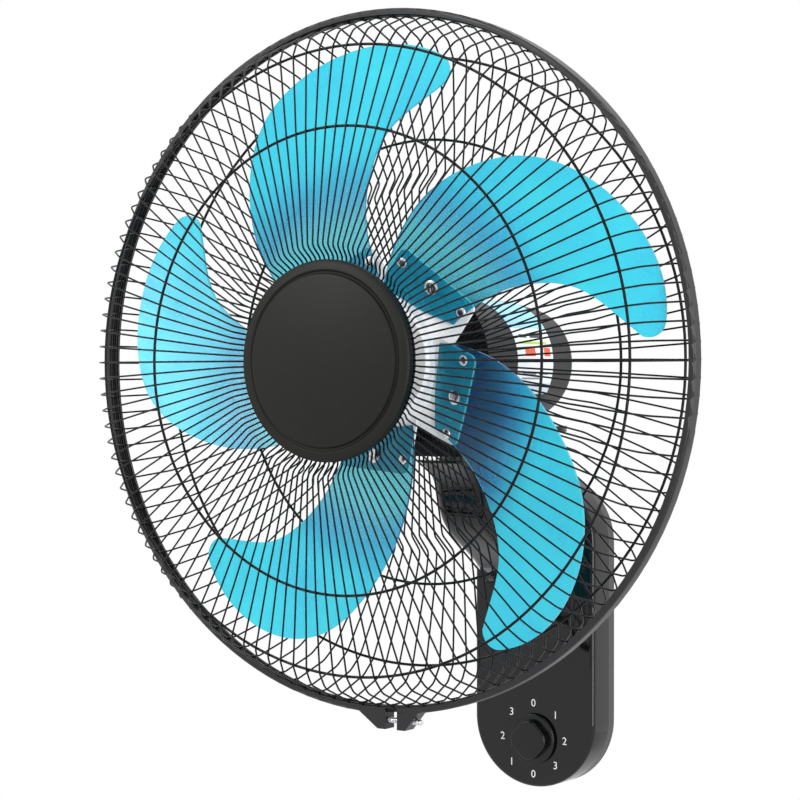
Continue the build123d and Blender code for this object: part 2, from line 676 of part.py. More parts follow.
# ---- Neck arm ---------------------------------------------------------------------------
with BuildPart() as neck_arm:
    with BuildSketch(Plane.YZ.offset(-ARM_W / 2)):
        with BuildLine():
            front_edge = Spline(*ARM_FRONT_EDGE)
            back_edge = Spline(*ARM_BACK_EDGE)
            Line(front_edge @ 0, (ARM_FRONT_EDGE[0][0], CUP_Z))
            Line((ARM_FRONT_EDGE[0][0], CUP_Z), (ARM_BACK_EDGE[0][0], CUP_Z))
            Line((ARM_BACK_EDGE[0][0], CUP_Z), back_edge @ 0)
            Line(back_edge @ 1, front_edge @ 1)
        make_face()
    extrude(amount=ARM_W)
    flanks = neck_arm.faces().filter_by(Axis.X)
    flank_edges = flanks.edges().filter_by(
        lambda edge: edge.center().Z < CUP_Z - CUP_RIM and edge.length > LUG_R
    )
    fillet(flank_edges.filter_by(GeomType.BSPLINE), ARM_ROUND)
    eye_half = LUG_INNER - SWING
    with BuildSketch(across(-eye_half)):
        Circle(LUG_R)
        with BuildLine():
            Polyline(
                (0, LUG_R),
                (ARM_BACK_EDGE[-1][0] - TILT_Y, ARM_BACK_EDGE[-1][1] - TILT_Z),
                (ARM_FRONT_EDGE[-1][0] - TILT_Y, ARM_FRONT_EDGE[-1][1] - TILT_Z),
                (-LUG_R * sin(radians(EYE_ANGLE)), -LUG_R * cos(radians(EYE_ANGLE))),
                close=True,
            )
        make_face()
    extrude(amount=2 * eye_half)
    for side_x in (-ARM_W, eye_half):
        disc(across(side_x), LUG_R + EYE_SPARE, ARM_W - eye_half, mode=Mode.SUBTRACT)
    disc(across(-ARM_W), TILT_BOLT_R + RUN, 2 * ARM_W, mode=Mode.SUBTRACT)
    disc(level_plane(SPINDLE_BOTTOM, y=PAN_Y), PAN_BUSH_R, CUP_Z, mode=Mode.SUBTRACT)
    disc(level_plane(POST_BOTTOM, post_x, post_y), POST_BOSS_R, POST_BOSS_TOP - POST_BOTTOM)
    disc(level_plane(POST_BOTTOM + SEAT, post_x, post_y), POST_R + SEAT / 2, CUP_Z, Mode.SUBTRACT)
    grub_plane = Plane(origin=(0, PAN_Y, GROOVE_Z), x_dir=(1, 0, 0), z_dir=(0, 1, 0))
    disc(grub_plane, GRUB_R + SEAT / 2, ARM_W, mode=Mode.SUBTRACT)

with BuildPart() as link_post:
    post_foot = POST_BOTTOM + 2 * SEAT
    disc(level_plane(post_foot, post_x, post_y), POST_R, post_top - post_foot)

with BuildPart() as pan_bush:
    with BuildSketch(level_plane(SPINDLE_BOTTOM + SEAT, y=PAN_Y)):
        Circle(PAN_BUSH_R - SEAT / 2)
        Circle(SPINDLE_R + RUN, mode=Mode.SUBTRACT)
    extrude(amount=CUP_Z - SPINDLE_BOTTOM - SEAT)
    disc(grub_plane, GRUB_R + SEAT / 2, ARM_W, mode=Mode.SUBTRACT)

with BuildPart() as pan_grub_screw:
    disc(grub_plane.offset(GROOVE_R + SWING), GRUB_R, GRUB_L)

with BuildPart() as thrust_washer:
    with BuildSketch(level_plane(CUP_Z + SEAT, y=PAN_Y)):
        Circle(THRUST_R)
        with Locations((0, ARM_BACK_EDGE[0][0] - THRUST_INSET - PAN_Y)):
            thrust_align = (Align.CENTER, Align.MAX)
            Rectangle(ARM_W, ARM_W, align=thrust_align, mode=Mode.INTERSECT)
        Circle(SPINDLE_R + SLIP, mode=Mode.SUBTRACT)
    extrude(amount=SWING_GAP - 3 * SEAT)

with BuildPart() as pan_spindle:
    spindle_low = SPINDLE_BOTTOM + SWING
    disc(level_plane(spindle_low, y=PAN_Y), SPINDLE_R, spindle_top - spindle_low)
    with BuildSketch(level_plane(GROOVE_Z - GROOVE_H / 2, y=PAN_Y)):
        Circle(SPINDLE_R)
        Circle(GROOVE_R, mode=Mode.SUBTRACT)
    extrude(amount=GROOVE_H, mode=Mode.SUBTRACT)

# ---- Motor bracket under the motor -------------------------------------------------------
collar_y = (COLLAR_FRONT + COLLAR_BACK) / 2
collar_l = COLLAR_BACK - COLLAR_FRONT
bracket_screw_z = collar_l - 2 * BRACKET_SCREW_INSET
with BuildPart() as motor_bracket:
    with BuildSketch(level_plane(collar_bottom, y=collar_y)):
        RectangleRounded(COLLAR_W, collar_l, COLLAR_ROUND)
    extrude(amount=COLLAR_TOP - collar_bottom)
    disc(head_plane(0).offset(-2 * BASE_H), MOTOR_R + SEAT, 3 * BASE_H, mode=Mode.SUBTRACT)
    disc(level_plane(0, y=PAN_Y), SPINDLE_R + SEAT / 2, spindle_top, mode=Mode.SUBTRACT)
    with BuildSketch(level_plane(collar_bottom, y=collar_y)):
        with GridLocations(BRACKET_SCREW_X, bracket_screw_z, 2, 2):
            Circle(BRACKET_SCREW_R + SLIP)
    extrude(amount=AXIS_Z - collar_bottom, mode=Mode.SUBTRACT)
    with BuildSketch(level_plane(collar_bottom, y=collar_y)):
        with GridLocations(BRACKET_SCREW_X, bracket_screw_z, 2, 2):
            Circle(BRACKET_HEAD_R + SLIP)
    extrude(amount=BRACKET_HEAD_H + POCKET, mode=Mode.SUBTRACT)

motor_under = AXIS_Z - sqrt(MOTOR_R**2 - (BRACKET_SCREW_X / 2) ** 2)
with BuildPart() as bracket_screws:
    with BuildSketch(level_plane(collar_bottom + POCKET - SEAT, y=collar_y)):
        with GridLocations(BRACKET_SCREW_X, bracket_screw_z, 2, 2):
            Circle(BRACKET_HEAD_R)
    extrude(amount=BRACKET_HEAD_H)
    with BuildSketch(level_plane(collar_bottom + POCKET, y=collar_y)):
        with GridLocations(BRACKET_SCREW_X, bracket_screw_z, 2, 2):
            Circle(BRACKET_SCREW_R)
    extrude(amount=motor_under + BRACKET_BITE - collar_bottom - POCKET)


def bracket_holes():
    """Holes for the bracket screws in the motor's shell."""
    with BuildSketch(level_plane(collar_bottom, y=collar_y)) as holes:
        with GridLocations(BRACKET_SCREW_X, bracket_screw_z, 2, 2):
            Circle(BRACKET_SCREW_R + SEAT / 2)
    hole_deep = motor_under + 2 * BRACKET_BITE - collar_bottom
    extrude(holes.sketch, amount=hole_deep, mode=Mode.SUBTRACT)


# ---- Motor shell ------------------------------------------------------------------------
inner_r = MOTOR_R - MOTOR_WALL
front_skin = MOTOR_FRONT - FRONT_WALL
bearing_front = front_skin - BEARING_LIP
boss_back = STATOR_FRONT + SEAT
seat_r = BEARING_R + BEARING_WALL
with BuildPart() as motor_front_cover:
    turn_profile([
        (NOSE_FRONT, SHAFT_R + POCKET), (NOSE_FRONT, NOSE_R), (MOTOR_FRONT, NOSE_R),
        (MOTOR_FRONT, MOTOR_R - MOTOR_EDGE_R), (MOTOR_FRONT - MOTOR_EDGE_L, MOTOR_R),
        (CAN_FRONT + SEAT, MOTOR_R), (CAN_FRONT + SEAT, inner_r),
        (front_skin - FRONT_BEVEL_L, inner_r), (front_skin, inner_r - FRONT_BEVEL_R),
        (front_skin, seat_r), (bearing_front - BEARING_L, seat_r),
        (bearing_front - BEARING_L, BEARING_R), (bearing_front, BEARING_R),
        (bearing_front, SHAFT_R + POCKET),
    ])
    with BuildSketch(head_plane(boss_back)):
        with PolarLocations(THROUGH_R, THROUGH_SCREWS, start_angle=THROUGH_ANGLE):
            Circle(THROUGH_BOSS_R)
    extrude(amount=front_skin - boss_back)
    with BuildSketch(head_plane(boss_back)):
        with PolarLocations(THROUGH_R, THROUGH_SCREWS, start_angle=THROUGH_ANGLE):
            Circle(THROUGH_SCREW_R + SEAT / 2)
    extrude(amount=THROUGH_TIP + HOLE_SPARE - boss_back, mode=Mode.SUBTRACT)
    bracket_holes()

with BuildPart() as motor_can:
    ring_profile(CAN_BACK, CAN_FRONT, inner_r, MOTOR_R)
    bracket_holes()

with BuildPart() as motor_label:
    label_back = CAN_BACK + LABEL_BACK_EDGE
    label_front = CAN_FRONT - LABEL_FRONT_EDGE
    ring_profile(label_back, label_front, MOTOR_R + SEAT / 2, MOTOR_R + SEAT / 2 + LABEL_T)
    with BuildSketch(head_plane(CAN_BACK)):
        with Locations((LABEL_EDGE_X, LABEL_LOW_Z)):
            Rectangle(MOTOR_R, 2 * MOTOR_R, align=(Align.MIN, Align.MIN))
    extrude(amount=CAN_FRONT - CAN_BACK, mode=Mode.INTERSECT)

with BuildPart() as stator_core:
    ring_profile(stator_back, STATOR_FRONT, ROTOR_R + AIR_GAP, inner_r - SEAT)
    with BuildSketch(head_plane(stator_back)):
        with PolarLocations(THROUGH_R, THROUGH_SCREWS, start_angle=THROUGH_ANGLE):
            Circle(THROUGH_SCREW_R + SLIP)
    extrude(amount=STATOR_L, mode=Mode.SUBTRACT)

with BuildPart() as stator_windings:
    for end_back in (STATOR_FRONT + SEAT, stator_back - SEAT - WINDING_L):
        with BuildSketch(head_plane(end_back)):
            Circle(WINDING_OUT)
            Circle(WINDING_IN, mode=Mode.SUBTRACT)
        extrude(amount=WINDING_L)
    fillet(stator_windings.edges().filter_by(GeomType.CIRCLE), WINDING_ROUND)

with BuildPart() as shaft_bearings:
    for bearing_back in (bearing_front - BEARING_L, GEAR_PLATE_FRONT):
        with BuildSketch(head_plane(bearing_back + SEAT)):
            Circle(BEARING_R - SEAT / 2)
            Circle(SHAFT_R + RUN / 2, mode=Mode.SUBTRACT)
        extrude(amount=BEARING_L - 2 * SEAT)

with BuildPart() as gearbox_plate:
    turn_profile([
        (gear_plate_back, SHAFT_R + POCKET), (gear_plate_back, inner_r - SEAT),
        (GEAR_PLATE_FRONT, inner_r - SEAT), (GEAR_PLATE_FRONT, seat_r),
        (GEAR_PLATE_FRONT + BEARING_L, seat_r),
        (GEAR_PLATE_FRONT + BEARING_L, BEARING_R), (GEAR_PLATE_FRONT, BEARING_R),
        (GEAR_PLATE_FRONT, SHAFT_R + POCKET),
    ])
    for shelf_z in (SHELF_TOP_Z, SHELF_LOW_Z):
        with BuildSketch(head_plane(gear_plate_back + SHELF_ROOT)):
            with Locations((crank_x, shelf_z)):
                Rectangle(SHELF_W, SHELF_T, align=(Align.CENTER, Align.MIN))
        extrude(amount=WORM_AT - SHELF_END - gear_plate_back - SHELF_ROOT)
    disc(level_plane(0, crank_x, worm_y), CRANK_SHAFT_R + RUN, AXIS_Z + BASE_H, Mode.SUBTRACT)
    with BuildSketch(head_plane(gear_plate_back)):
        with PolarLocations(THROUGH_R, THROUGH_SCREWS, start_angle=THROUGH_ANGLE):
            Circle(THROUGH_BOSS_R)
    extrude(amount=stator_back - SEAT - gear_plate_back)
    with BuildSketch(head_plane(gear_plate_back)):
        with PolarLocations(THROUGH_R, THROUGH_SCREWS, start_angle=THROUGH_ANGLE):
            Circle(THROUGH_SCREW_R + SLIP)
        with PolarLocations(REAR_SCREW_AT, 2, start_angle=REAR_SCREW_ANGLE):
            Circle(REAR_SCREW_R + SEAT / 2)
    extrude(amount=stator_back - gear_plate_back, mode=Mode.SUBTRACT)

with BuildPart() as motor_screws:
    with BuildSketch(head_plane(gear_plate_back - SEAT)):
        with PolarLocations(THROUGH_R, THROUGH_SCREWS, start_angle=THROUGH_ANGLE):
            Circle(THROUGH_SCREW_R)
    extrude(amount=THROUGH_TIP - gear_plate_back)
    with BuildSketch(head_plane(gear_plate_back - SEAT)):
        with PolarLocations(THROUGH_R, THROUGH_SCREWS, start_angle=THROUGH_ANGLE):
            Circle(THROUGH_HEAD_R)
    extrude(amount=-SCREW_HEAD_H)

rear_front = CAN_BACK - SEAT
rear_post_l = gear_plate_back - SEAT - REAR_BACK
with BuildPart() as motor_rear_cover:
    with BuildSketch(head_side):
        with BuildLine():
            Polyline(
                (rear_front, 0), (rear_front, MOTOR_R), (REAR_SHOULDER, REAR_SHOULDER_R)
            )
            RadiusArc(
                (REAR_SHOULDER, REAR_SHOULDER_R),
                (REAR_BACK, REAR_SHOULDER_R - REAR_CORNER),
                -REAR_CORNER,
            )
            Polyline((REAR_BACK, REAR_SHOULDER_R - REAR_CORNER), (REAR_BACK, 0), (rear_front, 0))
        make_face()
    revolve(axis=HEAD_AXIS)
    with BuildSketch(head_side):
        with BuildLine():
            Polyline(
                (rear_front, 0), (rear_front, inner_r),
                (REAR_SHOULDER, REAR_SHOULDER_R - MOTOR_WALL),
                (REAR_BACK + MOTOR_WALL, REAR_SHOULDER_R - REAR_CORNER),
                (REAR_BACK + MOTOR_WALL, 0), close=True,
            )
        make_face()
    revolve(axis=HEAD_AXIS, mode=Mode.SUBTRACT)
    with BuildSketch(head_plane(REAR_BACK + MOTOR_WALL / 2)):
        with PolarLocations(REAR_SCREW_AT, 2, start_angle=REAR_SCREW_ANGLE):
            Circle(REAR_POST_R)
    extrude(amount=rear_post_l - MOTOR_WALL / 2)
    with BuildSketch(head_plane(REAR_BACK)):
        with PolarLocations(REAR_SCREW_AT, 2, start_angle=REAR_SCREW_ANGLE):
            Circle(REAR_SCREW_R + SLIP)
    extrude(amount=rear_post_l, mode=Mode.SUBTRACT)
    with BuildSketch(head_plane(REAR_BACK)):
        with PolarLocations(VENT_R, VENTS):
            SlotOverall(VENT_L, VENT_W)
    extrude(amount=MOTOR_WALL, mode=Mode.SUBTRACT)
    disc(level_plane(0, crank_x, worm_y), CRANK_SHAFT_R + SLIP, AXIS_Z, mode=Mode.SUBTRACT)

with BuildPart() as rear_cover_screws:
    with BuildSketch(head_plane(REAR_BACK - SEAT)):
        with PolarLocations(REAR_SCREW_AT, 2, start_angle=REAR_SCREW_ANGLE):
            Circle(REAR_SCREW_R)
    extrude(amount=GEAR_PLATE_FRONT - REAR_BACK - SLIP)
    with BuildSketch(head_plane(REAR_BACK - SEAT)):
        with PolarLocations(REAR_SCREW_AT, 2, start_angle=REAR_SCREW_ANGLE):
            Circle(REAR_POST_R)
    extrude(amount=-SMALL_HEAD_H)

# ---- Turning parts of the motor -----------------------------------------------------------
thread_h = WORM_TIP_R - WORM_ROOT_R
thread_start = worm_y - (THREAD_TURNS / 2 + QUARTER_TURN) * WORM_PITCH
with BuildPart() as motor_shaft:
    disc(head_plane(SHAFT_BACK), SHAFT_R, SHAFT_FRONT - SHAFT_BACK)
    disc(head_plane(WORM_AT - WORM_L / 2), WORM_ROOT_R, WORM_L)
    with BuildLine():
        thread_path = Helix(
            WORM_PITCH, WORM_PITCH * THREAD_TURNS, WORM_ROOT_R,
            center=(0, thread_start, AXIS_Z), direction=(0, 1, 0),
        )
    with BuildSketch(Plane(origin=thread_path @ 0, x_dir=(0, 0, 1), z_dir=thread_path % 0)):
        with BuildLine():
            Polyline(
                (-THREAD_BURY, -THREAD_ROOT_W / 2), (thread_h, -THREAD_TIP_W / 2),
                (thread_h, THREAD_TIP_W / 2), (-THREAD_BURY, THREAD_ROOT_W / 2), close=True,
            )
        make_face()
    sweep(path=thread_path, is_frenet=True)

with BuildPart() as rotor:
    ring_profile(stator_back - SLIP, STATOR_FRONT + SLIP, SHAFT_R + SEAT / 2, ROTOR_R)

# ---- Swing gear ---------------------------------------------------------------------------
wheel_root_r = wheel_tip_r - WHEEL_DEPTH
tooth_w = WORM_PITCH * TOOTH_SHARE
with BuildPart() as worm_wheel:
    with BuildSketch(level_plane(AXIS_Z - WHEEL_T / 2, crank_x, worm_y)):
        Circle(wheel_root_r)
        with PolarLocations(wheel_root_r - TOOTH_BURY, WHEEL_TEETH, start_angle=180 / WHEEL_TEETH):
            Rectangle(WHEEL_DEPTH + TOOTH_BURY, tooth_w, align=(Align.MIN, Align.CENTER))
    extrude(amount=WHEEL_T)
    shaft_top = AXIS_Z + SHELF_TOP_Z + SHELF_T
    disc(level_plane(crank_low, crank_x, worm_y), CRANK_SHAFT_R, shaft_top - crank_low)

with BuildPart() as crank_disc:
    disc(level_plane(crank_low, crank_x, worm_y), CRANK_THROW + CRANK_RIM, CRANK_T)
    disc(level_plane(crank_low, crank_x, worm_y), CRANK_SHAFT_R + SEAT / 2, CRANK_T, Mode.SUBTRACT)
    disc(level_plane(crank_low, pin_x, pin_y), CRANK_PIN_R, -LINK_T - SEAT)

link_middle = ((pin_x + post_x) / 2, (pin_y + post_y) / 2)
with BuildPart() as drive_link:
    with BuildSketch(level_plane(link_bottom, *link_middle)):
        SlotCenterToCenter(LINK_L, LINK_W, rotation=degrees(link_turn))
    extrude(amount=LINK_T)
    disc(level_plane(link_bottom, pin_x, pin_y), CRANK_PIN_R + RUN, LINK_T, mode=Mode.SUBTRACT)
    disc(level_plane(link_bottom, post_x, post_y), LINK_SCREW_R + RUN, LINK_T, mode=Mode.SUBTRACT)

with BuildPart() as link_screw:
    disc(level_plane(link_bottom, post_x, post_y), LINK_SCREW_R, LINK_T + SEAT)
    disc(level_plane(link_top + SEAT, post_x, post_y), LINK_SCREW_HEAD_R, SCREW_HEAD_H)


# ---- Guard wires --------------------------------------------------------------------------
def bent_wire(points):
    """One round wire bent along (forward, radius) points in the plane of the axis and +Z."""
    bends = [SPOKE_BEND] * (len(points) - 4) + [KNEE_BEND, SPOKE_BEND]
    with BuildPart() as wire:
        with BuildLine(head_side):
            path = FilletPolyline(*points, radius=bends)
        with BuildSketch(Plane(origin=path @ 0, z_dir=path % 0)):
            Circle(SPOKE_R)
        sweep(path=path)
    return wire.part


def wire_set(wire):
    """All the wires of one guard, each a solid of its own, spread round the axis."""
    turns = [360.0 * number / SPOKES for number in range(SPOKES)]
    return Compound(children=[wire.rotate(HEAD_AXIS, turn) for turn in turns])


def beside(before, ring, after, side):
    """Corner of a wire that bends over the outside of a ring, between two other corners."""
    turn_in = atan2(ring[1] - before[1], ring[0] - before[0])
    turn_out = atan2(after[1] - ring[1], after[0] - ring[0])
    heading = (turn_in + turn_out) / 2
    cut = SPOKE_BEND * (1 / cos((turn_out - turn_in) / 2) - 1)
    reach = side * (RING_R + SPOKE_R + SEAT + BEND_SPARE + cut)
    return (ring[0] + reach * sin(heading), ring[1] - reach * cos(heading))


mid_front = (MID_RING_FORWARD, MID_RING)
mid_rear = (REAR_MID_FORWARD, MID_RING)
outer_front = (OUTER_RING_FORWARD, outer_ring)
outer_rear = (REAR_OUTER_FORWARD, outer_ring)
knee_front = (KNEE_FORWARD, knee_r)
knee_rear = (-KNEE_FORWARD, knee_r)

front_guard_spokes = wire_set(bent_wire([
    (DIP, SPOKE_TIP_R), (DIP, DIP_R), (DISH_TOP, DISH_TOP_R),
    beside((DISH_TOP, DISH_TOP_R), mid_front, outer_front, 1),
    beside(mid_front, outer_front, knee_front, 1),
    knee_front, (END_RUN, spoke_end_r), (SPOKE_END, spoke_end_r),
]))
rear_guard_spokes = wire_set(bent_wire([
    (step_in, REAR_TIP_R), (step_in, STEP_IN_R), (STEP_OUT, STEP_OUT_R),
    beside((STEP_OUT, STEP_OUT_R), mid_rear, outer_rear, -1),
    beside(mid_rear, outer_rear, knee_rear, -1),
    knee_rear, (-END_RUN, spoke_end_r), (-SPOKE_END, spoke_end_r),
]))

with BuildPart() as front_guard_rings:
    with Locations(head_plane(MID_RING_FORWARD)):
        Torus(MID_RING, RING_R)
    with Locations(head_plane(OUTER_RING_FORWARD)):
        Torus(outer_ring, RING_R)
    with Locations(head_plane(DIP - SPOKE_R - RING_R - SEAT)):
        Torus(CAP_RING, RING_R)
    with Locations(head_plane(end_ring_forward)):
        Torus(end_ring_r, END_RING_R)

with BuildPart() as rear_guard_rings:
    with Locations(head_plane(REAR_MID_FORWARD)):
        Torus(MID_RING, RING_R)
    with Locations(head_plane(REAR_OUTER_FORWARD)):
        Torus(outer_ring, RING_R)
    with Locations(head_plane(-end_ring_forward)):
        Torus(end_ring_r, END_RING_R)

# ---- Rear guard plate and its lock nut ------------------------------------------------------
with BuildPart() as rear_guard_plate:
    ring_profile(guard_plate_back, guard_plate_front, NOSE_R + SLIP, GUARD_PLATE_R)

with BuildPart() as guard_lock_nut:
    nut_back = guard_plate_front + SEAT
    with BuildSketch(head_plane(nut_back)):
        Circle(LOCK_NUT_R)
        with PolarLocations(LOCK_NUT_R, LOCK_NUT_LOBES):
            Circle(LOCK_NUT_SCALLOP, mode=Mode.SUBTRACT)
        Circle(NOSE_R + SEAT, mode=Mode.SUBTRACT)
    extrude(amount=LOCK_NUT_T)

# ---- Hoop that clamps the two guards together -----------------------------------------------
lug_low = HOOP_R + LUG_DROP
gap_left = HOOP_GAP_X - HOOP_GAP / 2
gap_right = HOOP_GAP_X + HOOP_GAP / 2
clamp_r = HOOP_R + CLAMP_DROP


def clamp_lug(edge_x, reach):
    """Gusset under one end of the hoop, reaching away from the gap."""
    end_x = edge_x + reach
    flat_x = edge_x + copysign(LUG_FLAT, reach)
    end_top = sqrt(HOOP_R**2 - end_x**2) - HOOP_T
    with BuildSketch(head_plane(LUG_INSET - hoop_half)) as gusset:
        with BuildLine():
            Polyline(
                (edge_x, HOOP_T - HOOP_R), (edge_x, -lug_low), (flat_x, -lug_low),
                (end_x, -end_top), close=True,
            )
        make_face()
    extrude(gusset.sketch, amount=2 * (hoop_half - LUG_INSET))


def clamp_plane(x):
    """Plane across the clamp screw, facing +X."""
    return Plane(origin=(x, HOOP_Y, AXIS_Z - clamp_r), x_dir=(0, 1, 0), z_dir=(1, 0, 0))


def clamp_pocket(from_x):
    """Pocket for the clamp screw's head or nut, open towards the wall."""
    with BuildSketch(clamp_plane(from_x)) as pocket:
        Rectangle(2 * CLAMP_HEAD_R + 2 * SLIP, 2 * CLAMP_HEAD_R + 2 * SLIP)
        Rectangle(2 * hoop_half, 2 * CLAMP_HEAD_R + 2 * SLIP, align=(Align.MIN, Align.CENTER))
    extrude(pocket.sketch, amount=CLAMP_HEAD_H + 2 * SEAT, mode=Mode.SUBTRACT)


head_x = gap_left - CLAMP_POCKET_IN
nut_x = gap_right + CLAMP_POCKET_IN - CLAMP_HEAD_H
channel_half = hoop_half - HOOP_T
channel_r = HOOP_R - HOOP_T
lip_r = HOOP_R - HOOP_LIP


def hoop_section(half, outer_r, round_r, mode=Mode.ADD):
    """Turns a band with rounded outer edges, as deep as the hoop's lips."""
    with BuildSketch(head_side) as section:
        with Locations((0, lip_r)):
            Rectangle(2 * half, outer_r - lip_r, align=(Align.CENTER, Align.MIN))
        fillet(section.vertices().group_by(Axis.Y)[-1], round_r)
    revolve(section.sketch, axis=HEAD_AXIS, mode=mode)


with BuildPart() as guard_hoop:
    hoop_section(hoop_half, HOOP_R, HOOP_ROUND)
    clamp_lug(gap_left, -LEFT_LUG_RUN)
    clamp_lug(gap_right, RIGHT_LUG_RUN)
    hoop_section(channel_half, channel_r, HOOP_ROUND - HOOP_T, mode=Mode.SUBTRACT)
    with BuildSketch(head_plane(-hoop_half)):
        with Locations((HOOP_GAP_X, -HOOP_R)):
            Rectangle(HOOP_GAP, 2 * LUG_DROP + 2 * HOOP_T)
    extrude(amount=2 * hoop_half, mode=Mode.SUBTRACT)
    clamp_pocket(head_x)
    clamp_pocket(nut_x)
    disc(clamp_plane(head_x), CLAMP_SCREW_R + SLIP, HOOP_R, mode=Mode.SUBTRACT)

with BuildPart() as hoop_screw:
    disc(clamp_plane(head_x + SEAT), CLAMP_HEAD_R, CLAMP_HEAD_H)
    disc(clamp_plane(head_x + SEAT), CLAMP_SCREW_R, CLAMP_TAIL - head_x)

with BuildPart() as hoop_nut:
    with BuildSketch(clamp_plane(nut_x + SEAT)):
        Rectangle(2 * CLAMP_HEAD_R, 2 * CLAMP_HEAD_R)
        Circle(CLAMP_SCREW_R + SEAT / 2, mode=Mode.SUBTRACT)
    extrude(amount=CLAMP_HEAD_H)

# ---- Front cap ------------------------------------------------------------------------------
groove_r = CAP_FACE_R + CAP_GROOVE
groove_floor = CAP_RIM + CAP_RISE - CAP_GROOVE_DEEP
with BuildPart() as front_cap:
    turn_profile([
        (cap_seat, CAP_R), (CAP_RIM - CAP_ROUND, CAP_R), (CAP_RIM, CAP_R - CAP_ROUND),
        (CAP_RIM + CAP_RISE, groove_r + CAP_LAND), (groove_floor, groove_r),
        (groove_floor, CAP_FACE_R), (CAP_FACE - CAP_EDGE, CAP_FACE_R - CAP_EDGE),
        (CAP_FACE, CAP_FACE_R - CAP_BEVEL), (CAP_FACE, 0), (CAP_FACE - CAP_WALL, 0),
        (CAP_FACE - CAP_WALL, CAP_FACE_R - CAP_WEB), (CAP_RIM - CAP_WALL, CAP_FACE_R),
        (CAP_RIM - CAP_WALL, CAP_R - CAP_ROUND - CAP_WALL), (cap_seat, CAP_R - CAP_WALL),
    ])
    with BuildSketch(head_plane(back_seat + SEAT)):
        with PolarLocations(CAP_BOSS_AT, CAP_SCREWS, start_angle=90):
            Circle(CAP_BOSS_R)
    extrude(amount=CAP_FACE - CAP_WALL / 2 - back_seat)
    with BuildSketch(head_plane(back_seat)):
        with PolarLocations(CAP_BOSS_AT, CAP_SCREWS, start_angle=90):
            Circle(CAP_SCREW_R + SEAT / 2)
    extrude(amount=CAP_FACE - CAP_WALL - back_seat, mode=Mode.SUBTRACT)

with BuildPart() as cap_back_plate:
    with BuildSketch(head_plane(back_seat - BACK_PLATE_T)):
        Circle(BACK_PLATE_R)
        with PolarLocations(CAP_BOSS_AT, CAP_SCREWS, start_angle=90):
            Circle(CAP_SCREW_R + SLIP, mode=Mode.SUBTRACT)
    extrude(amount=BACK_PLATE_T)

with BuildPart() as cap_screws:
    with BuildSketch(head_plane(back_seat - BACK_PLATE_T - SEAT)):
        with PolarLocations(CAP_BOSS_AT, CAP_SCREWS, start_angle=90):
            Circle(CAP_SCREW_R)
    extrude(amount=CAP_FACE - CAP_WALL - HOLE_SPARE - back_seat + BACK_PLATE_T)
    with BuildSketch(head_plane(back_seat - BACK_PLATE_T - SEAT)):
        with PolarLocations(CAP_BOSS_AT, CAP_SCREWS, start_angle=90):
            Circle(CAP_SCREW_R * HEAD_TO_SHANK)
    extrude(amount=-SMALL_HEAD_H)


# ---- Blades ---------------------------------------------------------------------------------
# The blade is a slice of a wide cylinder: (across, forward) is the section's own frame,
# "across" runs down the slope of the blade.
slope_s = -sin(radians(BLADE_LEAN))
slope_t = cos(radians(BLADE_LEAN))
root_across = slope_s * ROOT_S
camber_across = root_across + BLADE_CAMBER_R * sin(radians(BLADE_PITCH))
camber_forward = ROOT_FORWARD + BLADE_CAMBER_R * cos(radians(BLADE_PITCH))
blade_reach = HOOP_R - TIP_GAP
outline_reach = max(hypot(*point) for point in BLADE_SWEPT_EDGE + BLADE_HOOK_EDGE)
blade_growth = (blade_reach - ROOT_S) / (outline_reach - ROOT_S)


def fitted(point):
    """Outline point as (outward, up), its part past the root stretched to the blade's reach."""
    distance = hypot(*point)
    past_root = max(distance - ROOT_S, 0)
    share = (distance - past_root + past_root * blade_growth) / distance
    return (point[0] * share, -point[1] * share)


swept_edge = [fitted(point) for point in BLADE_SWEPT_EDGE]
hook_edge = [fitted(point) for point in BLADE_HOOK_EDGE]
blade_across = [slope_s * out - slope_t * up for out, up in swept_edge + hook_edge]


def camber_slab(angle, skin_r, thickness):
    """Curved slab behind the blade's front face, wide enough for any outline."""
    blade_face = head_plane(0, angle)
    across_dir = blade_face.x_dir * slope_s - blade_face.y_dir * slope_t
    section = Plane(
        origin=blade_face.origin, x_dir=across_dir, z_dir=across_dir.cross(Vector(0, -1, 0))
    )
    low = min(blade_across) - BLADE_SPARE - camber_across
    high = max(blade_across) + BLADE_SPARE - camber_across

    def on_arc(offset, radius):
        return (camber_across + offset, camber_forward - sqrt(radius**2 - offset**2))

    middle = (low + high) / 2
    outer_r = skin_r + thickness
    with BuildSketch(section) as slab:
        with BuildLine():
            ThreePointArc(on_arc(low, skin_r), on_arc(middle, skin_r), on_arc(high, skin_r))
            Line(on_arc(high, skin_r), on_arc(high, outer_r))
            ThreePointArc(on_arc(high, outer_r), on_arc(middle, outer_r), on_arc(low, outer_r))
            Line(on_arc(low, outer_r), on_arc(low, skin_r))
        make_face()
    extrude(slab.sketch, amount=blade_reach + BLADE_SPARE, both=True)


def seat_plane(angle, sideways, skin_r):
    """Plane that lies on the blade's curve at a fastener and faces forward."""
    blade_face = head_plane(0, angle)
    offset = slope_s * ROOT_S + slope_t * sideways - camber_across
    lift = camber_forward - sqrt(skin_r**2 - offset**2)
    across_dir = blade_face.x_dir * slope_s - blade_face.y_dir * slope_t
    forward_dir = Vector(0, -1, 0)
    origin = (
        blade_face.origin + blade_face.x_dir * ROOT_S - blade_face.y_dir * sideways
        + forward_dir * lift
    )
    normal = forward_dir * sqrt(1 - (offset / skin_r) ** 2) - across_dir * (offset / skin_r)
    return Plane(origin=origin, z_dir=normal)


blade_angles = [BLADE_ANGLE + 360.0 / BLADES * number for number in range(BLADES)]
front_skin_r = BLADE_CAMBER_R - BLADE_T
leaf_skin_r = BLADE_CAMBER_R + SEAT
back_skin_r = leaf_skin_r + LEAF_T + SEAT


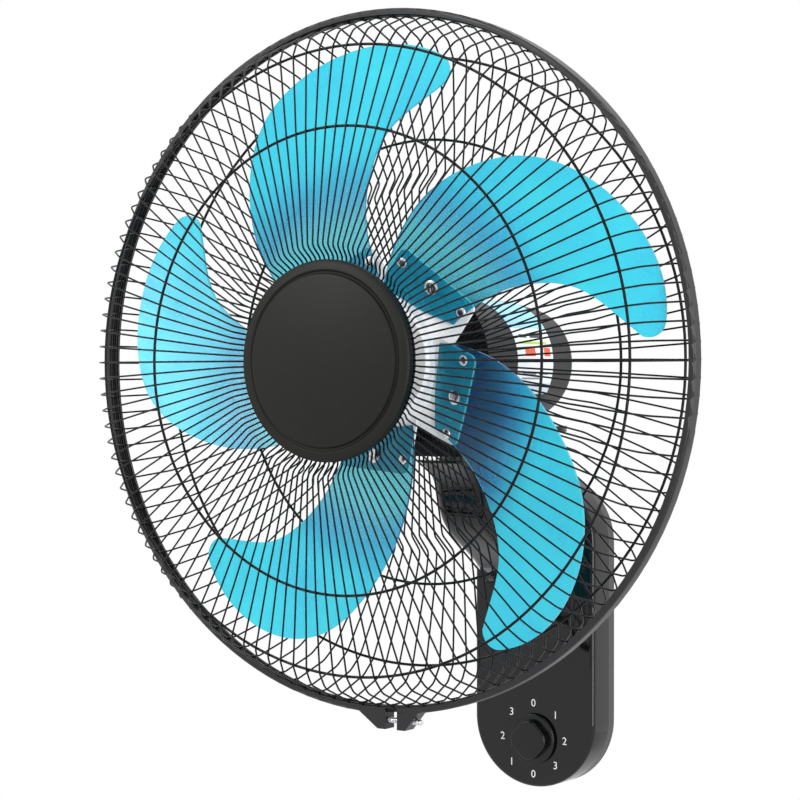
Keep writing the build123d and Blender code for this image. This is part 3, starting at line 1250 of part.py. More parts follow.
def drill(angle, radius):
    """Holes through a blade root or a leaf for its three fasteners."""
    for sideways in (-ROOT_PITCH, 0.0, ROOT_PITCH):
        start = seat_plane(angle, sideways, front_skin_r).offset(DRILL_DEEP / 2)
        disc(start, radius, -DRILL_DEEP, mode=Mode.SUBTRACT)


def make_blade(angle):
    """One blade, rooted at an angle anticlockwise from +X."""
    with BuildPart() as blade:
        camber_slab(angle, front_skin_r, BLADE_T)
        with BuildSketch(head_plane(-BLADE_DEEP, angle)):
            with BuildLine():
                swept = Spline(*swept_edge)
                hook = Spline(*hook_edge)
                TangentArc(swept @ 1, hook @ 0, tangent=swept % 1)
                Polyline(hook @ 1, fitted(BLADE_ROOT_EDGE), swept @ 0)
            make_face()
        extrude(amount=2 * BLADE_DEEP, mode=Mode.INTERSECT)
        drill(angle, BLADE_HOLE_R)
    return blade.part


blades = [make_blade(angle) for angle in blade_angles]


def make_leaf(angle):
    """Flat arm of the hub that carries one blade."""
    with BuildPart() as leaf:
        camber_slab(angle, leaf_skin_r, LEAF_T)
        with BuildSketch(head_plane(-BLADE_DEEP, angle)):
            with Locations(((LEAF_IN + LEAF_OUT) / 2, 0)):
                RectangleRounded(LEAF_OUT - LEAF_IN, LEAF_W, LEAF_CORNER)
        extrude(amount=2 * BLADE_DEEP, mode=Mode.INTERSECT)
        drill(angle, BLADE_HOLE_R)
    return leaf.part


with BuildPart() as blade_hub:
    turn_profile([
        (BOSS_FRONT, SHAFT_R + SEAT / 2), (BOSS_FRONT, BOSS_R),
        (DRUM_FRONT, BOSS_R + BOSS_DRAFT), (DRUM_FRONT, DRUM_R - DRUM_ROUND),
        (DRUM_FRONT - DRUM_ROUND, DRUM_R), (DRUM_BACK, DRUM_R),
        (DRUM_BACK, DRUM_R - DRUM_WALL), (DRUM_FRONT - DRUM_WALL, DRUM_R - DRUM_WALL),
        (DRUM_FRONT - DRUM_WALL, BOSS_R), (DRUM_BACK, BOSS_R), (DRUM_BACK, SHAFT_R + SEAT / 2),
    ])
    add([make_leaf(angle) for angle in blade_angles])

with BuildPart() as blade_screws:
    for angle in blade_angles:
        seat = seat_plane(angle, 0.0, front_skin_r - SEAT)
        disc(seat, BLADE_SCREW_HEAD_R, BLADE_SCREW_HEAD_H)
        disc(seat, BLADE_SCREW_R, -BLADE_SCREW_L)

with BuildPart() as blade_rivets:
    for angle in blade_angles:
        for sideways in (-ROOT_PITCH, ROOT_PITCH):
            seat = seat_plane(angle, sideways, front_skin_r - SEAT)
            disc(seat, RIVET_HEAD_R, RIVET_HEAD_H)
            disc(seat, RIVET_R, -(BLADE_T + LEAF_T + 4 * SEAT))
            disc(seat_plane(angle, sideways, back_skin_r), RIVET_HEAD_R, -RIVET_HEAD_H)

with BuildPart() as spinner_nut:
    turn_profile([
        (BOSS_FRONT + SEAT, 0), (BOSS_FRONT + SEAT, SPINNER_R),
        (BOSS_FRONT + SPINNER_WAIST, SPINNER_R - SPINNER_DRAFT),
        (SPINNER_FRONT - SPINNER_TIP, SPINNER_NOSE_R),
        (SPINNER_FRONT, SPINNER_NOSE_R - SPINNER_TIP_R), (SPINNER_FRONT, 0),
    ])
    with BuildSketch(head_plane(BOSS_FRONT)):
        with PolarLocations(SPINNER_R + SPINNER_DRAFT, SPINNER_RIBS):
            Circle(RIB_GAP_R)
    extrude(amount=SPINNER_FRONT, mode=Mode.SUBTRACT)
    disc(head_plane(BOSS_FRONT), SHAFT_R + SEAT / 2, SHAFT_FRONT - BOSS_FRONT + SEAT, Mode.SUBTRACT)

# ---- Files ------------------------------------------------------------------------------------
pieces = {
    "wall_plate": wall_plate.part,
    "rear_housing": rear_housing.part,
    "front_cover": front_cover.part,
    "cover_screws": cover_screws.part,
    "tilt_clevis": tilt_clevis.part,
    "clevis_screws": clevis_screws.part,
    "tilt_bolt": tilt_bolt.part,
    "tilt_washers": tilt_washers.part,
    "tilt_nut": tilt_nut.part,
    "rotary_switch": rotary_switch.part,
    "switch_nut": switch_nut.part,
    "switch_stem": switch_stem.part,
    "speed_knob": speed_knob.part,
    "run_capacitor": run_capacitor.part,
    "cord_grommet": cord_grommet.part,
    "neck_arm": neck_arm.part,
    "pan_bush": pan_bush.part,
    "pan_grub_screw": pan_grub_screw.part,
    "thrust_washer": thrust_washer.part,
    "pan_spindle": pan_spindle.part,
    "motor_bracket": motor_bracket.part,
    "bracket_screws": bracket_screws.part,
    "motor_front_cover": motor_front_cover.part,
    "motor_can": motor_can.part,
    "motor_label": motor_label.part,
    "stator_core": stator_core.part,
    "stator_windings": stator_windings.part,
    "shaft_bearings": shaft_bearings.part,
    "gearbox_plate": gearbox_plate.part,
    "motor_screws": motor_screws.part,
    "motor_rear_cover": motor_rear_cover.part,
    "rear_cover_screws": rear_cover_screws.part,
    "motor_shaft": motor_shaft.part,
    "rotor": rotor.part,
    "worm_wheel": worm_wheel.part,
    "crank_disc": crank_disc.part,
    "drive_link": drive_link.part,
    "link_screw": link_screw.part,
    "link_post": link_post.part,
    "front_guard_spokes": front_guard_spokes,
    "front_guard_rings": front_guard_rings.part,
    "rear_guard_spokes": rear_guard_spokes,
    "rear_guard_rings": rear_guard_rings.part,
    "rear_guard_plate": rear_guard_plate.part,
    "guard_lock_nut": guard_lock_nut.part,
    "guard_hoop": guard_hoop.part,
    "hoop_screw": hoop_screw.part,
    "hoop_nut": hoop_nut.part,
    "front_cap": front_cap.part,
    "cap_back_plate": cap_back_plate.part,
    "cap_screws": cap_screws.part,
    "blade_hub": blade_hub.part,
    "blade_screws": blade_screws.part,
    "blade_rivets": blade_rivets.part,
    "spinner_nut": spinner_nut.part,
}
for number, blade in enumerate(blades, start=1):
    pieces[f"blade_{number}"] = blade

os.makedirs("parts", exist_ok=True)
for name, piece in pieces.items():
    piece.label = name
    export_step(piece, f"parts/{name}.step")
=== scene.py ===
"""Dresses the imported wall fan: shells, wire guards, clear blades, dial, label and studio."""

import json
import math

import bmesh
import bpy
from mathutils import Matrix, Vector


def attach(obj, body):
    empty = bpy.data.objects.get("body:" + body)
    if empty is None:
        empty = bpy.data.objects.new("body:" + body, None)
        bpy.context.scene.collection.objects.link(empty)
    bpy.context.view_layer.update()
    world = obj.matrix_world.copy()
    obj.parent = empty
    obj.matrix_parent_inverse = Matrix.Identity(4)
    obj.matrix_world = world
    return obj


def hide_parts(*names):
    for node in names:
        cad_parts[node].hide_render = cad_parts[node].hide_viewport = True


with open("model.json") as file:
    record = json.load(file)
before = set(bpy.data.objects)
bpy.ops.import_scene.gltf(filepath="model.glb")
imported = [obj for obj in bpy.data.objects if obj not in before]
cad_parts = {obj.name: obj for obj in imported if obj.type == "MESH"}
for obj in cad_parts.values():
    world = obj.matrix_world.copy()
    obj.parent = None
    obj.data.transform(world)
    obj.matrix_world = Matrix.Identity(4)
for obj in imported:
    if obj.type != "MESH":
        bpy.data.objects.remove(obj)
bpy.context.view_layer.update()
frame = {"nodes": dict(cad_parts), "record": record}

bl_info = {
    "name": "Wall fan dressing",
    "version": (1, 0, 0),
    "blender": (4, 5, 0),
    "location": "3D View > Sidebar > Wall fan",
    "description": "Builds the visible pieces of the wall fan over its packed frame",
    "category": "Object",
}

# The middle of the guard's hoop, on the fan's axis.
HEAD = Vector((0.0, -0.225, 0.188))
MERGE_DISTANCE = 2e-6
FLAT_JOIN_ANGLE = math.radians(0.4)
SMOOTH_ANGLE = math.radians(38)
# How far the crisp edges of a piece are eased, in metres.
FINE_EDGE = 0.0002
SLIGHT_EDGE = 0.0003
SOFT_EDGE = 0.0004
FULL_EDGE = 0.0005
NODE_BODY = {
    node: body
    for body, members in frame["record"]["behaviour"]["bodies"].items()
    for node in members
}
NODE_SLOT = {row["node"]: row["material_slot"] for row in frame["record"]["subparts"]}


# ---- Finishes -------------------------------------------------------------------------


def shade(red, green, blue):
    """A colour as a picture shows it, from 0 to 255, turned into the shader's light values."""
    linear = []
    for value in (red, green, blue):
        part = value / 255
        linear.append(part / 12.92 if part <= 0.04045 else ((part + 0.055) / 1.055) ** 2.4)
    return (*linear, 1.0)


class Amount:
    """One output of a node; sums written on it add Math nodes."""

    def __init__(self, maker, socket):
        self.maker = maker
        self.socket = socket

    def _math(self, operation, left, right):
        return self.maker.node("ShaderNodeMath", {"operation": operation}, {0: left, 1: right})

    def __add__(self, other):
        return self._math("ADD", self, other)

    def __radd__(self, other):
        return self._math("ADD", other, self)

    def __sub__(self, other):
        return self._math("SUBTRACT", self, other)

    def __rsub__(self, other):
        return self._math("SUBTRACT", other, self)

    def __mul__(self, other):
        return self._math("MULTIPLY", self, other)

    def __rmul__(self, other):
        return self._math("MULTIPLY", other, self)

    def __truediv__(self, other):
        return self._math("DIVIDE", self, other)

    def __rtruediv__(self, other):
        return self._math("DIVIDE", other, self)

    def __pow__(self, other):
        return self._math("POWER", self, other)

    def __rpow__(self, other):
        return self._math("POWER", other, self)

    def sibling(self, name):
        """Another output of the same node."""
        return Amount(self.maker, self.socket.node.outputs[name])


class NodeMaker:
    """Adds nodes to one tree and wires their sockets."""

    def __init__(self, tree):
        self.tree = tree

    def node(self, kind, settings=None, inputs=None, output=0):
        """Makes a node and returns one of its outputs, where it has any."""
        made = self.tree.nodes.new(kind)
        for setting, value in (settings or {}).items():
            setattr(made, setting, value)
        for socket, value in (inputs or {}).items():
            self.feed(made.inputs[socket], value)
        return Amount(self, made.outputs[output]) if made.outputs else None

    def feed(self, socket, value):
        """Links an output, or a list of them, to a socket, or sets the socket to a value."""
        if isinstance(value, list):
            for part in value:
                self.feed(socket, part)
        elif isinstance(value, Amount):
            self.tree.links.new(value.socket, socket)
        else:
            socket.default_value = value


class Finish(NodeMaker):
    """A procedural finish on a Principled shader, patterned by Object coordinates."""

    def __init__(self, name, **constants):
        self.material = bpy.data.materials.new(name)
        self.material.use_nodes = True
        super().__init__(self.material.node_tree)
        self.shader = self.tree.nodes["Principled BSDF"]
        for socket, value in constants.items():
            self.shader.inputs[socket.replace("_", " ")].default_value = value
        self.place = self.node("ShaderNodeTexCoord", output="Object")

    def grain(self, per_metre, detail=3.0, stretch=None):
        """Soft noise from 0 to 1 with so many lumps to the metre."""
        place = self.place
        if stretch:
            place = self.node("ShaderNodeMapping", {}, {"Vector": place, "Scale": stretch})
        return self.node(
            "ShaderNodeTexNoise", {}, {"Vector": place, "Scale": per_metre, "Detail": detail}
        )

    def between(self, amount, low, high):
        """0 below low, 1 above high, with a smooth rise."""
        return self.node(
            "ShaderNodeMapRange",
            {"interpolation_type": "SMOOTHSTEP"},
            {"Value": amount, "From Min": low, "From Max": high},
        )

    def mix(self, factor, first, second):
        """One colour turning into another."""
        return self.node(
            "ShaderNodeMix", {"data_type": "RGBA"}, {0: factor, 6: first, 7: second}, 2
        )

    def axes(self):
        """X, Y and Z of a point, in metres."""
        across = self.node("ShaderNodeSeparateXYZ", {}, {"Vector": self.place})
        return across, across.sibling("Y"), across.sibling("Z")

    def emboss(self, height, depth):
        """Raises the surface by height times depth."""
        bump = self.node("ShaderNodeBump", {}, {"Distance": depth, "Height": height})
        self.set("Normal", bump)

    def set(self, socket, value):
        self.feed(self.shader.inputs[socket], value)


def moulded(name, colour, dusty, roughness, spread, grit=0.00002, specular=0.5):
    """Plastic or paint with a fine skin, faint dust and patches that shine a little more."""
    finish = Finish(name, Specular_IOR_Level=specular)
    clouds = finish.grain(35.0, 4.0)
    specks = finish.grain(900.0, 2.0)
    dust = finish.between(finish.grain(160.0, 5.0), 0.55, 0.8)
    finish.set("Base Color", finish.mix(dust * 0.5 + clouds * 0.3, colour, dusty))
    finish.set("Roughness", roughness + (clouds - 0.5) * spread + dust * spread * 0.5)
    finish.emboss(specks * 0.7 + clouds * 0.3, grit)
    return finish.material


def bare_metal(name, colour, darker, roughness):
    """Plated or turned metal with fine turning lines and a few dull spots."""
    finish = Finish(name, Metallic=1.0)
    lines = finish.grain(420.0, 2.0, stretch=(1.0, 9.0, 1.0))
    spots = finish.between(finish.grain(700.0, 4.0), 0.58, 0.75)
    finish.set("Base Color", finish.mix(spots * 0.7 + lines * 0.2, colour, darker))
    finish.set("Roughness", roughness + lines * 0.12 + spots * 0.15)
    finish.emboss(lines, 0.00001)
    return finish.material


BLADE_IOR = 1.45
# Distances from the fan's axis between which a blade's clear root, and the painted shade near its
# hub, end.
ROOT_FROM = 0.085
ROOT_TO = 0.14


def clear_blade(name, colours):
    """Tinted clear plastic with faint flow marks, clearer at the root than towards the tip, with a
    painted navy shade near the hub.
    """
    root, tip, marks, depth = (
        tuple(tint)
        for tint in (colours.blade_root, colours.blade_tip, colours.blade_far, colours.blade_deep)
    )
    finish = Finish(name, IOR=BLADE_IOR, Transmission_Weight=colours.blade_clearness)
    across, _, up = finish.axes()
    rise = up - HEAD.z
    reach = (across * across + rise * rise) ** 0.5
    outward = finish.between(reach, ROOT_FROM, ROOT_TO)
    flow = finish.grain(28.0, 3.0, stretch=(1.0, 0.3, 1.0))
    # Painted shade: near the hub the base colour is the navy depth tint, which stands in for the
    # dark motor seen through the blade; outward it turns into the tip tint and flow marks.
    finish.set("Base Color", finish.mix(outward, depth, finish.mix(flow * 0.5, tip, marks)))
    roughness = 0.2 + flow * 0.12
    finish.set("Roughness", roughness)
    finish.emboss(flow, 0.0002)
    clearer = finish.node(
        "ShaderNodeBsdfPrincipled",
        {},
        {
            "Base Color": finish.mix(flow * 0.3, root, tip),
            "Roughness": roughness,
            "IOR": BLADE_IOR,
            "Transmission Weight": 1.0,
        },
    )
    solid = Amount(finish, finish.shader.outputs[0])
    # Near the hub the solid shader, which carries the painted shade, keeps this share; the rest is
    # the clearer shader.
    share = 1.0 - colours.root_clearness
    blend = finish.node(
        "ShaderNodeMixShader", {}, {0: share + outward * (1.0 - share), 1: clearer, 2: solid}
    )
    finish.feed(finish.tree.nodes["Material Output"].inputs["Surface"], blend)
    return finish.material


def coated_wire(name):
    """Black dipped wire: semi gloss, with small runs in the coating."""
    finish = Finish(name, Specular_IOR_Level=0.16)
    runs = finish.grain(300.0, 3.0)
    finish.set("Base Color", finish.mix(runs, shade(8, 8, 9), shade(22, 22, 24)))
    finish.set("Roughness", 0.2 + runs * 0.14)
    finish.emboss(runs, 0.00003)
    return finish.material


def winding_wire(name):
    """Enamelled copper, ribbed by its turns."""
    finish = Finish(name, Metallic=1.0)
    turns = finish.node(
        "ShaderNodeTexWave",
        {"bands_direction": "Y"},
        {"Vector": finish.place, "Scale": 400.0, "Distortion": 2.0},
        "Fac",
    )
    finish.set("Base Color", finish.mix(turns, shade(120, 60, 30), shade(205, 120, 70)))
    finish.set("Roughness", 0.3 + turns * 0.2)
    finish.emboss(turns, 0.0003)
    return finish.material


def label_print(name):
    """Printed film: pale blue and white panels with plain blocks, without any lettering."""
    finish = Finish(name)
    _, along, up = finish.axes()
    edge = 0.0002

    def panel(amount, low, high):
        return finish.between(amount, low - edge, low + edge) * (
            1.0 - finish.between(amount, high - edge, high + edge)
        )

    # Panels and blocks by their place along the can (Y) and up its flank (Z), in metres.
    fleck = finish.grain(500.0, 2.0)
    colour = finish.mix(fleck * 0.3, shade(236, 240, 243), shade(214, 220, 226))
    for low_y, high_y, low_z, high_z, tone in (
        (-0.126, -0.077, 0.2108, 0.2310, shade(150, 214, 232)),
        (-0.126, -0.077, 0.1660, 0.1745, shade(196, 214, 224)),
        (-0.118, -0.108, 0.2045, 0.2068, shade(24, 62, 48)),
        (-0.104, -0.090, 0.2045, 0.2068, shade(24, 62, 48)),
        (-0.120, -0.084, 0.2003, 0.2020, shade(176, 206, 60)),
        (-0.1145, -0.1010, 0.1922, 0.1980, shade(226, 84, 46)),
        (-0.0895, -0.0810, 0.1922, 0.1980, shade(226, 84, 46)),
        (-0.118, -0.100, 0.1798, 0.1812, shade(120, 126, 134)),
        (-0.096, -0.084, 0.1798, 0.1812, shade(120, 126, 134)),
        (-0.118, -0.092, 0.1768, 0.1780, shade(120, 126, 134)),
    ):
        block = panel(along, low_y, high_y) * panel(up, low_z, high_z)
        colour = finish.mix(block, colour, tone)
    finish.set("Base Color", colour)
    finish.set("Roughness", 0.32 + fleck * 0.1)
    finish.emboss(fleck, 0.00001)
    return finish.material


def dial_ink(name):
    """White printed ink with a slightly uneven coat."""
    finish = Finish(name)
    fleck = finish.grain(2500.0, 2.0)
    finish.set("Base Color", finish.mix(fleck, shade(235, 235, 235), shade(200, 200, 200)))
    finish.set("Roughness", 0.45 + fleck * 0.1)
    return finish.material


def make_finishes(colours):
    """Every finish of the fan, by the record's slot name, and the dial's ink."""
    return {
        "black_gloss": moulded(
            "gloss black plastic",
            tuple(colours.base_colour),
            shade(12, 12, 13),
            roughness=0.05,
            spread=0.03,
            grit=0.000004,
            specular=0.38,
        ),
        "grey_satin": moulded(
            "satin grey plastic",
            shade(52, 52, 50),
            shade(66, 66, 63),
            roughness=0.42,
            spread=0.12,
        ),
        "knob_black": moulded(
            "satin black plastic",
            shade(8, 8, 9),
            shade(18, 18, 19),
            roughness=0.2,
            spread=0.1,
            grit=0.00001,
            specular=0.35,
        ),
        "hoop_grey": moulded(
            "hoop grey plastic",
            tuple(colours.hoop_colour),
            shade(38, 38, 40),
            roughness=0.34,
            spread=0.1,
            grit=0.00001,
            specular=0.35,
        ),
        "cap_grey": moulded(
            "cap grey plastic",
            tuple(colours.cap_colour),
            shade(28, 28, 24),
            roughness=0.5,
            spread=0.1,
            grit=0.00001,
            specular=0.2,
        ),
        "blade_blue": clear_blade("clear blue plastic", colours),
        "hub_white": moulded(
            "white plastic",
            shade(244, 245, 247),
            shade(226, 227, 228),
            roughness=0.35,
            spread=0.1,
        ),
        "wire_black": coated_wire("black coated wire"),
        "motor_black": moulded(
            "black motor paint",
            shade(10, 10, 12),
            shade(20, 20, 22),
            roughness=0.34,
            spread=0.14,
            specular=0.3,
        ),
        "motor_grey": moulded(
            "dark motor plastic",
            shade(18, 18, 20),
            shade(30, 30, 32),
            roughness=0.45,
            spread=0.12,
            specular=0.3,
        ),
        "label_film": label_print("label film"),
        "steel": bare_metal(
            "plain steel", shade(170, 170, 172), shade(120, 120, 120), roughness=0.3
        ),
        "zinc": bare_metal(
            "bright zinc", shade(226, 227, 230), shade(180, 180, 182), roughness=0.2
        ),
        "copper": winding_wire("enamelled copper"),
        "bronze": bare_metal(
            "sintered bronze", shade(170, 120, 66), shade(120, 84, 46), roughness=0.4
        ),
        "alloy": bare_metal(
            "cast alloy", shade(168, 170, 172), shade(130, 131, 133), roughness=0.5
        ),
        "nylon": moulded(
            "natural nylon",
            shade(226, 222, 208),
            shade(206, 200, 184),
            roughness=0.4,
            spread=0.1,
        ),
        "rubber": moulded(
            "black rubber", shade(24, 24, 24), shade(40, 40, 40), roughness=0.7, spread=0.1
        ),
        "dial_ink": dial_ink("dial ink"),
    }


FINISHES = {}


def finish_for(slot):
    """The finish of a slot; all are made the first time that one is asked for."""
    if not FINISHES:
        FINISHES.update(make_finishes(bpy.context.scene.fan_colours))
    return FINISHES[slot]


# ---- Meshes ---------------------------------------------------------------------------


def placed(name, data):
    """A new object of the scene."""
    made = bpy.data.objects.new(name, data)
    bpy.context.scene.collection.objects.link(made)
    return made


def plain_mesh(holder):
    """The object's final shape as a mesh of its own; the object and its modifiers go."""
    made = bpy.data.meshes.new_from_object(
        holder.evaluated_get(bpy.context.evaluated_depsgraph_get())
    )
    holder.modifiers.clear()
    bpy.data.objects.remove(holder)
    return made


def show(name, mesh, node, slot=None, replaces=()):
    """Makes a finished piece that rides on the body of a CAD node and may stand for nodes."""
    piece = placed(name, mesh)
    slot = slot or NODE_SLOT[node]
    if not mesh.materials:
        mesh.materials.append(finish_for(slot))
    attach(piece, NODE_BODY[node])
    if replaces:
        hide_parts(*replaces)


def merged(node):
    """A CAD node's shape, closed and with whole flat faces; the caller frees it."""
    shape = bmesh.new()
    shape.from_mesh(frame["nodes"][node].data)
    bmesh.ops.remove_doubles(shape, verts=shape.verts, dist=MERGE_DISTANCE)
    bmesh.ops.dissolve_limit(
        shape, angle_limit=FLAT_JOIN_ANGLE, verts=shape.verts, edges=shape.edges
    )
    return shape


def smoothed(mesh):
    """Rounds the shading over gentle edges and keeps the crisp ones."""
    mesh.shade_smooth()
    mesh.set_sharp_from_angle(angle=SMOOTH_ANGLE)
    return mesh


def eased(name, mesh, width):
    """The mesh with its crisp edges eased by a narrow bevel."""
    holder = placed(name, mesh)
    bevel = holder.modifiers.new("Bevel", "BEVEL")
    bevel.width = width
    bevel.segments = 2
    bevel.limit_method = "ANGLE"
    bevel.angle_limit = SMOOTH_ANGLE
    bevel.harden_normals = True
    return plain_mesh(holder)


def dress(node, edge=0.0):
    """Shows a CAD node's shape with smooth shading and, where edge is given, eased edges."""
    mesh = bpy.data.meshes.new(node + "_dressed")
    shape = merged(node)
    shape.to_mesh(mesh)
    shape.free()
    if "custom_normal" in mesh.attributes:
        mesh.attributes.remove(mesh.attributes["custom_normal"])
    smoothed(mesh)
    if edge:
        mesh = eased(node, mesh, edge)
    show(node + "_shell", mesh, node, replaces=[node])


# ---- Geometry Nodes -------------------------------------------------------------------


class ShapeTree(NodeMaker):
    """A Geometry Nodes tree with named inputs that ends in plain faces with one finish."""

    def __init__(self, name):
        super().__init__(bpy.data.node_groups.new(name, "GeometryNodeTree"))
        sockets = self.tree.interface
        sockets.new_socket("Geometry", in_out="INPUT", socket_type="NodeSocketGeometry")
        sockets.new_socket("Geometry", in_out="OUTPUT", socket_type="NodeSocketGeometry")
        self.path = self.node("NodeGroupInput", output="Geometry")

    def ask(self, name, kind, value=None):
        """A named input, as NodeSocket kinds are called, with its usual value."""
        socket = self.tree.interface.new_socket(
            name, in_out="INPUT", socket_type="NodeSocket" + kind
        )
        if value is not None:
            socket.default_value = value
        return self.path.sibling(name)

    def noted(self, name, kind="FLOAT"):
        """What is written under a name on each point of the path."""
        return self.node("GeometryNodeInputNamedAttribute", {"data_type": kind}, {"Name": name})

    def spots(self):
        """The points of the path."""
        return self.node("GeometryNodeMeshToPoints", {}, {"Mesh": self.path})

    def vector(self, x=0.0, y=0.0, z=0.0):
        """Three numbers as one vector."""
        return self.node("ShaderNodeCombineXYZ", {}, {"X": x, "Y": y, "Z": z})

    def moved(self, shape, **change):
        """The shape with a Translation, a Rotation or a Scale."""
        return self.node("GeometryNodeTransform", {}, {"Geometry": shape, **change})

    def lifted(self, shape, height):
        """The shape moved up its own Z."""
        return self.moved(shape, Translation=self.vector(z=height))

    def copies(self, points, shape, **change):
        """A copy of the shape on each point, with a Rotation or a Scale."""
        return self.node(
            "GeometryNodeInstanceOnPoints", {}, {"Points": points, "Instance": shape, **change}
        )

    def seated(self, shape):
        """A copy of the shape on each point of the path, its Z along the point's facing."""
        facing = self.noted("facing", "FLOAT_VECTOR")
        turn = self.node("FunctionNodeAlignRotationToVector", {"axis": "Z"}, {"Vector": facing})
        return self.copies(self.spots(), shape, Rotation=turn)

    def joined(self, *parts):
        """Several shapes as one."""
        return self.node("GeometryNodeJoinGeometry", {}, {"Geometry": list(parts)})

    def circle(self, sides, radius=1.0):
        """A closed round line."""
        return self.node(
            "GeometryNodeCurvePrimitiveCircle", {}, {"Resolution": sides, "Radius": radius}
        )

    def tube(self, line, profile, thickness=1.0, caps=True):
        """A profile carried along a line."""
        return self.node(
            "GeometryNodeCurveToMesh",
            {},
            {"Curve": line, "Profile Curve": profile, "Scale": thickness, "Fill Caps": caps},
        )

    def bar(self, radius, length, top, sides):
        """A round bar that hangs down from a height."""
        body = self.node(
            "GeometryNodeMeshCylinder", {}, {"Vertices": sides, "Radius": radius, "Depth": length}
        )
        return self.lifted(body, top - length * 0.5)

    def box(self, width, depth, height):
        """A box about the origin."""
        size = self.vector(width, depth, height)
        return self.node("GeometryNodeMeshCube", {}, {"Size": size})

    def less(self, shape, *tools):
        """The shape with others cut out of it."""
        return self.node(
            "GeometryNodeMeshBoolean",
            {"operation": "DIFFERENCE", "solver": "EXACT"},
            {"Mesh 1": shape, "Mesh 2": list(tools)},
        )

    def shared(self, *shapes):
        """What shapes have in common."""
        return self.node(
            "GeometryNodeMeshBoolean",
            {"operation": "INTERSECT", "solver": "EXACT"},
            {"Mesh 2": list(shapes)},
        )

    def close(self, shape):
        """Realizes the shape, gives it its finish and ends the tree."""
        finish = self.ask("Finish", "Material")
        plain = self.node("GeometryNodeRealizeInstances", {}, {0: shape})
        smooth = self.node("GeometryNodeSetShadeSmooth", {}, {0: plain})
        made = self.node(
            "GeometryNodeSetMaterial", {}, {"Geometry": smooth, "Material": finish}
        )
        self.node("NodeGroupOutput", {}, {0: made})
        return self.tree


def grown(name, tree, path, **values):
    """The plain mesh that a tree makes of a path; head_radius sets its Head Radius, and so on."""
    holder = placed(name, path)
    modifier = holder.modifiers.new("Shape", "NODES")
    modifier.node_group = tree
    for row in tree.interface.items_tree:
        key = row.name.lower().replace(" ", "_")
        if row.in_out == "INPUT" and key in values:
            modifier[row.identifier] = values[key]
    return plain_mesh(holder)


BEND_STEPS = 4


def guard_wire_tree():
    """Bent wires round the fan's axis; the path is one wire with a bend radius on each point."""
    tree = ShapeTree("guard wires")
    count = tree.ask("Wires", "Int", 120)
    radius = tree.ask("Wire Radius", "Float", 0.0006)
    sides = tree.ask("Sides", "Int", 8)
    centre = tree.ask("Centre", "Vector")
    line = tree.node("GeometryNodeMeshToCurve", {}, {"Mesh": tree.path})
    bend = tree.noted("bend_radius")
    rounded = tree.node(
        "GeometryNodeFilletCurve",
        {"mode": "POLY"},
        {"Curve": line, "Count": BEND_STEPS, "Radius": bend, "Limit Radius": True},
    )
    wire = tree.tube(rounded, tree.circle(sides, radius))
    starts = tree.node("GeometryNodePoints", {}, {"Count": count})
    number = tree.node("GeometryNodeInputIndex")
    turn = tree.vector(y=number * math.tau / count)
    spread = tree.node("FunctionNodeEulerToRotation", {}, {0: turn})
    wires = tree.copies(starts, wire, Rotation=spread)
    return tree.close(tree.moved(wires, Translation=centre))


def guard_ring_tree():
    """Rings round the fan's axis: each point of the path has a ring and a wire radius."""
    tree = ShapeTree("guard rings")
    around = tree.ask("Around", "Int", 160)
    sides = tree.ask("Sides", "Int", 10)
    centre = tree.ask("Centre", "Vector")
    reach = tree.noted("ring_radius")
    upright = tree.moved(tree.circle(around), Rotation=(math.pi / 2, 0, 0))
    rings = tree.copies(tree.spots(), upright, Scale=tree.vector(reach, reach, reach))
    lines = tree.node("GeometryNodeRealizeInstances", {}, {0: rings})
    tubes = tree.tube(lines, tree.circle(sides), tree.noted("wire_radius"), caps=False)
    return tree.close(tree.moved(tubes, Translation=centre))


# Round forms of screws and rivets: sides of heads and shanks, rings of a dome.
HEAD_SIDES = 28
SHANK_SIDES = 16
DOME_RINGS = 16
# A cross head screw's crown as a share of the head's height, and its flat top and the recess's
# slots as shares of the head's radius.
CROWN_HEIGHT = 0.45
CROWN_TOP = 0.7
SLOT_LENGTH = 1.1
SLOT_WIDTH = 0.24
# The box that cuts a slot, as a share of the crown's height; half of it stands above the head.
SLOT_BOX = 1.8
# The thread: its core and its ridge as shares of the shank's radius, the ridge's sides and the
# steps of one turn.
CORE_RADIUS = 0.84
RIDGE_RADIUS = 0.15
RIDGE_SIDES = 4
THREAD_STEPS = 12


def cross_screw_tree():
    """Pan head screws with a cross recess and a thread; a point of the path is a head's top."""
    tree = ShapeTree("cross head screws")
    radius = tree.ask("Head Radius", "Float", 0.0046)
    height = tree.ask("Head Height", "Float", 0.0018)
    shank = tree.ask("Shank Radius", "Float", 0.00215)
    length = tree.ask("Shank Length", "Float", 0.0065)
    pitch = tree.ask("Pitch", "Float", 0.0008)
    crown_h = height * CROWN_HEIGHT
    cone = tree.node(
        "GeometryNodeMeshCone",
        {},
        {
            "Vertices": HEAD_SIDES,
            "Radius Top": radius * CROWN_TOP,
            "Radius Bottom": radius,
            "Depth": crown_h,
        },
    )
    slot = (radius * SLOT_LENGTH, radius * SLOT_WIDTH)
    crown = tree.less(
        tree.lifted(cone, 0.0 - crown_h),
        tree.box(*slot, crown_h * SLOT_BOX),
        tree.box(*reversed(slot), crown_h * SLOT_BOX),
    )
    rim = tree.bar(radius, height - crown_h, 0.0 - crown_h, HEAD_SIDES)
    core_r = shank * CORE_RADIUS
    core = tree.bar(core_r, length, 0.0 - height, SHANK_SIDES)
    ridge_r = shank * RIDGE_RADIUS
    run = length - ridge_r * 2.0
    turns = tree.node(
        "GeometryNodeCurveSpiral",
        {},
        {
            "Resolution": THREAD_STEPS,
            "Rotations": run / pitch,
            "Start Radius": core_r,
            "End Radius": core_r,
            "Height": run,
        },
    )
    thread = tree.tube(turns, tree.circle(RIDGE_SIDES, ridge_r))
    thread = tree.lifted(thread, ridge_r - height - length)
    return tree.close(tree.seated(tree.joined(crown, rim, core, thread)))


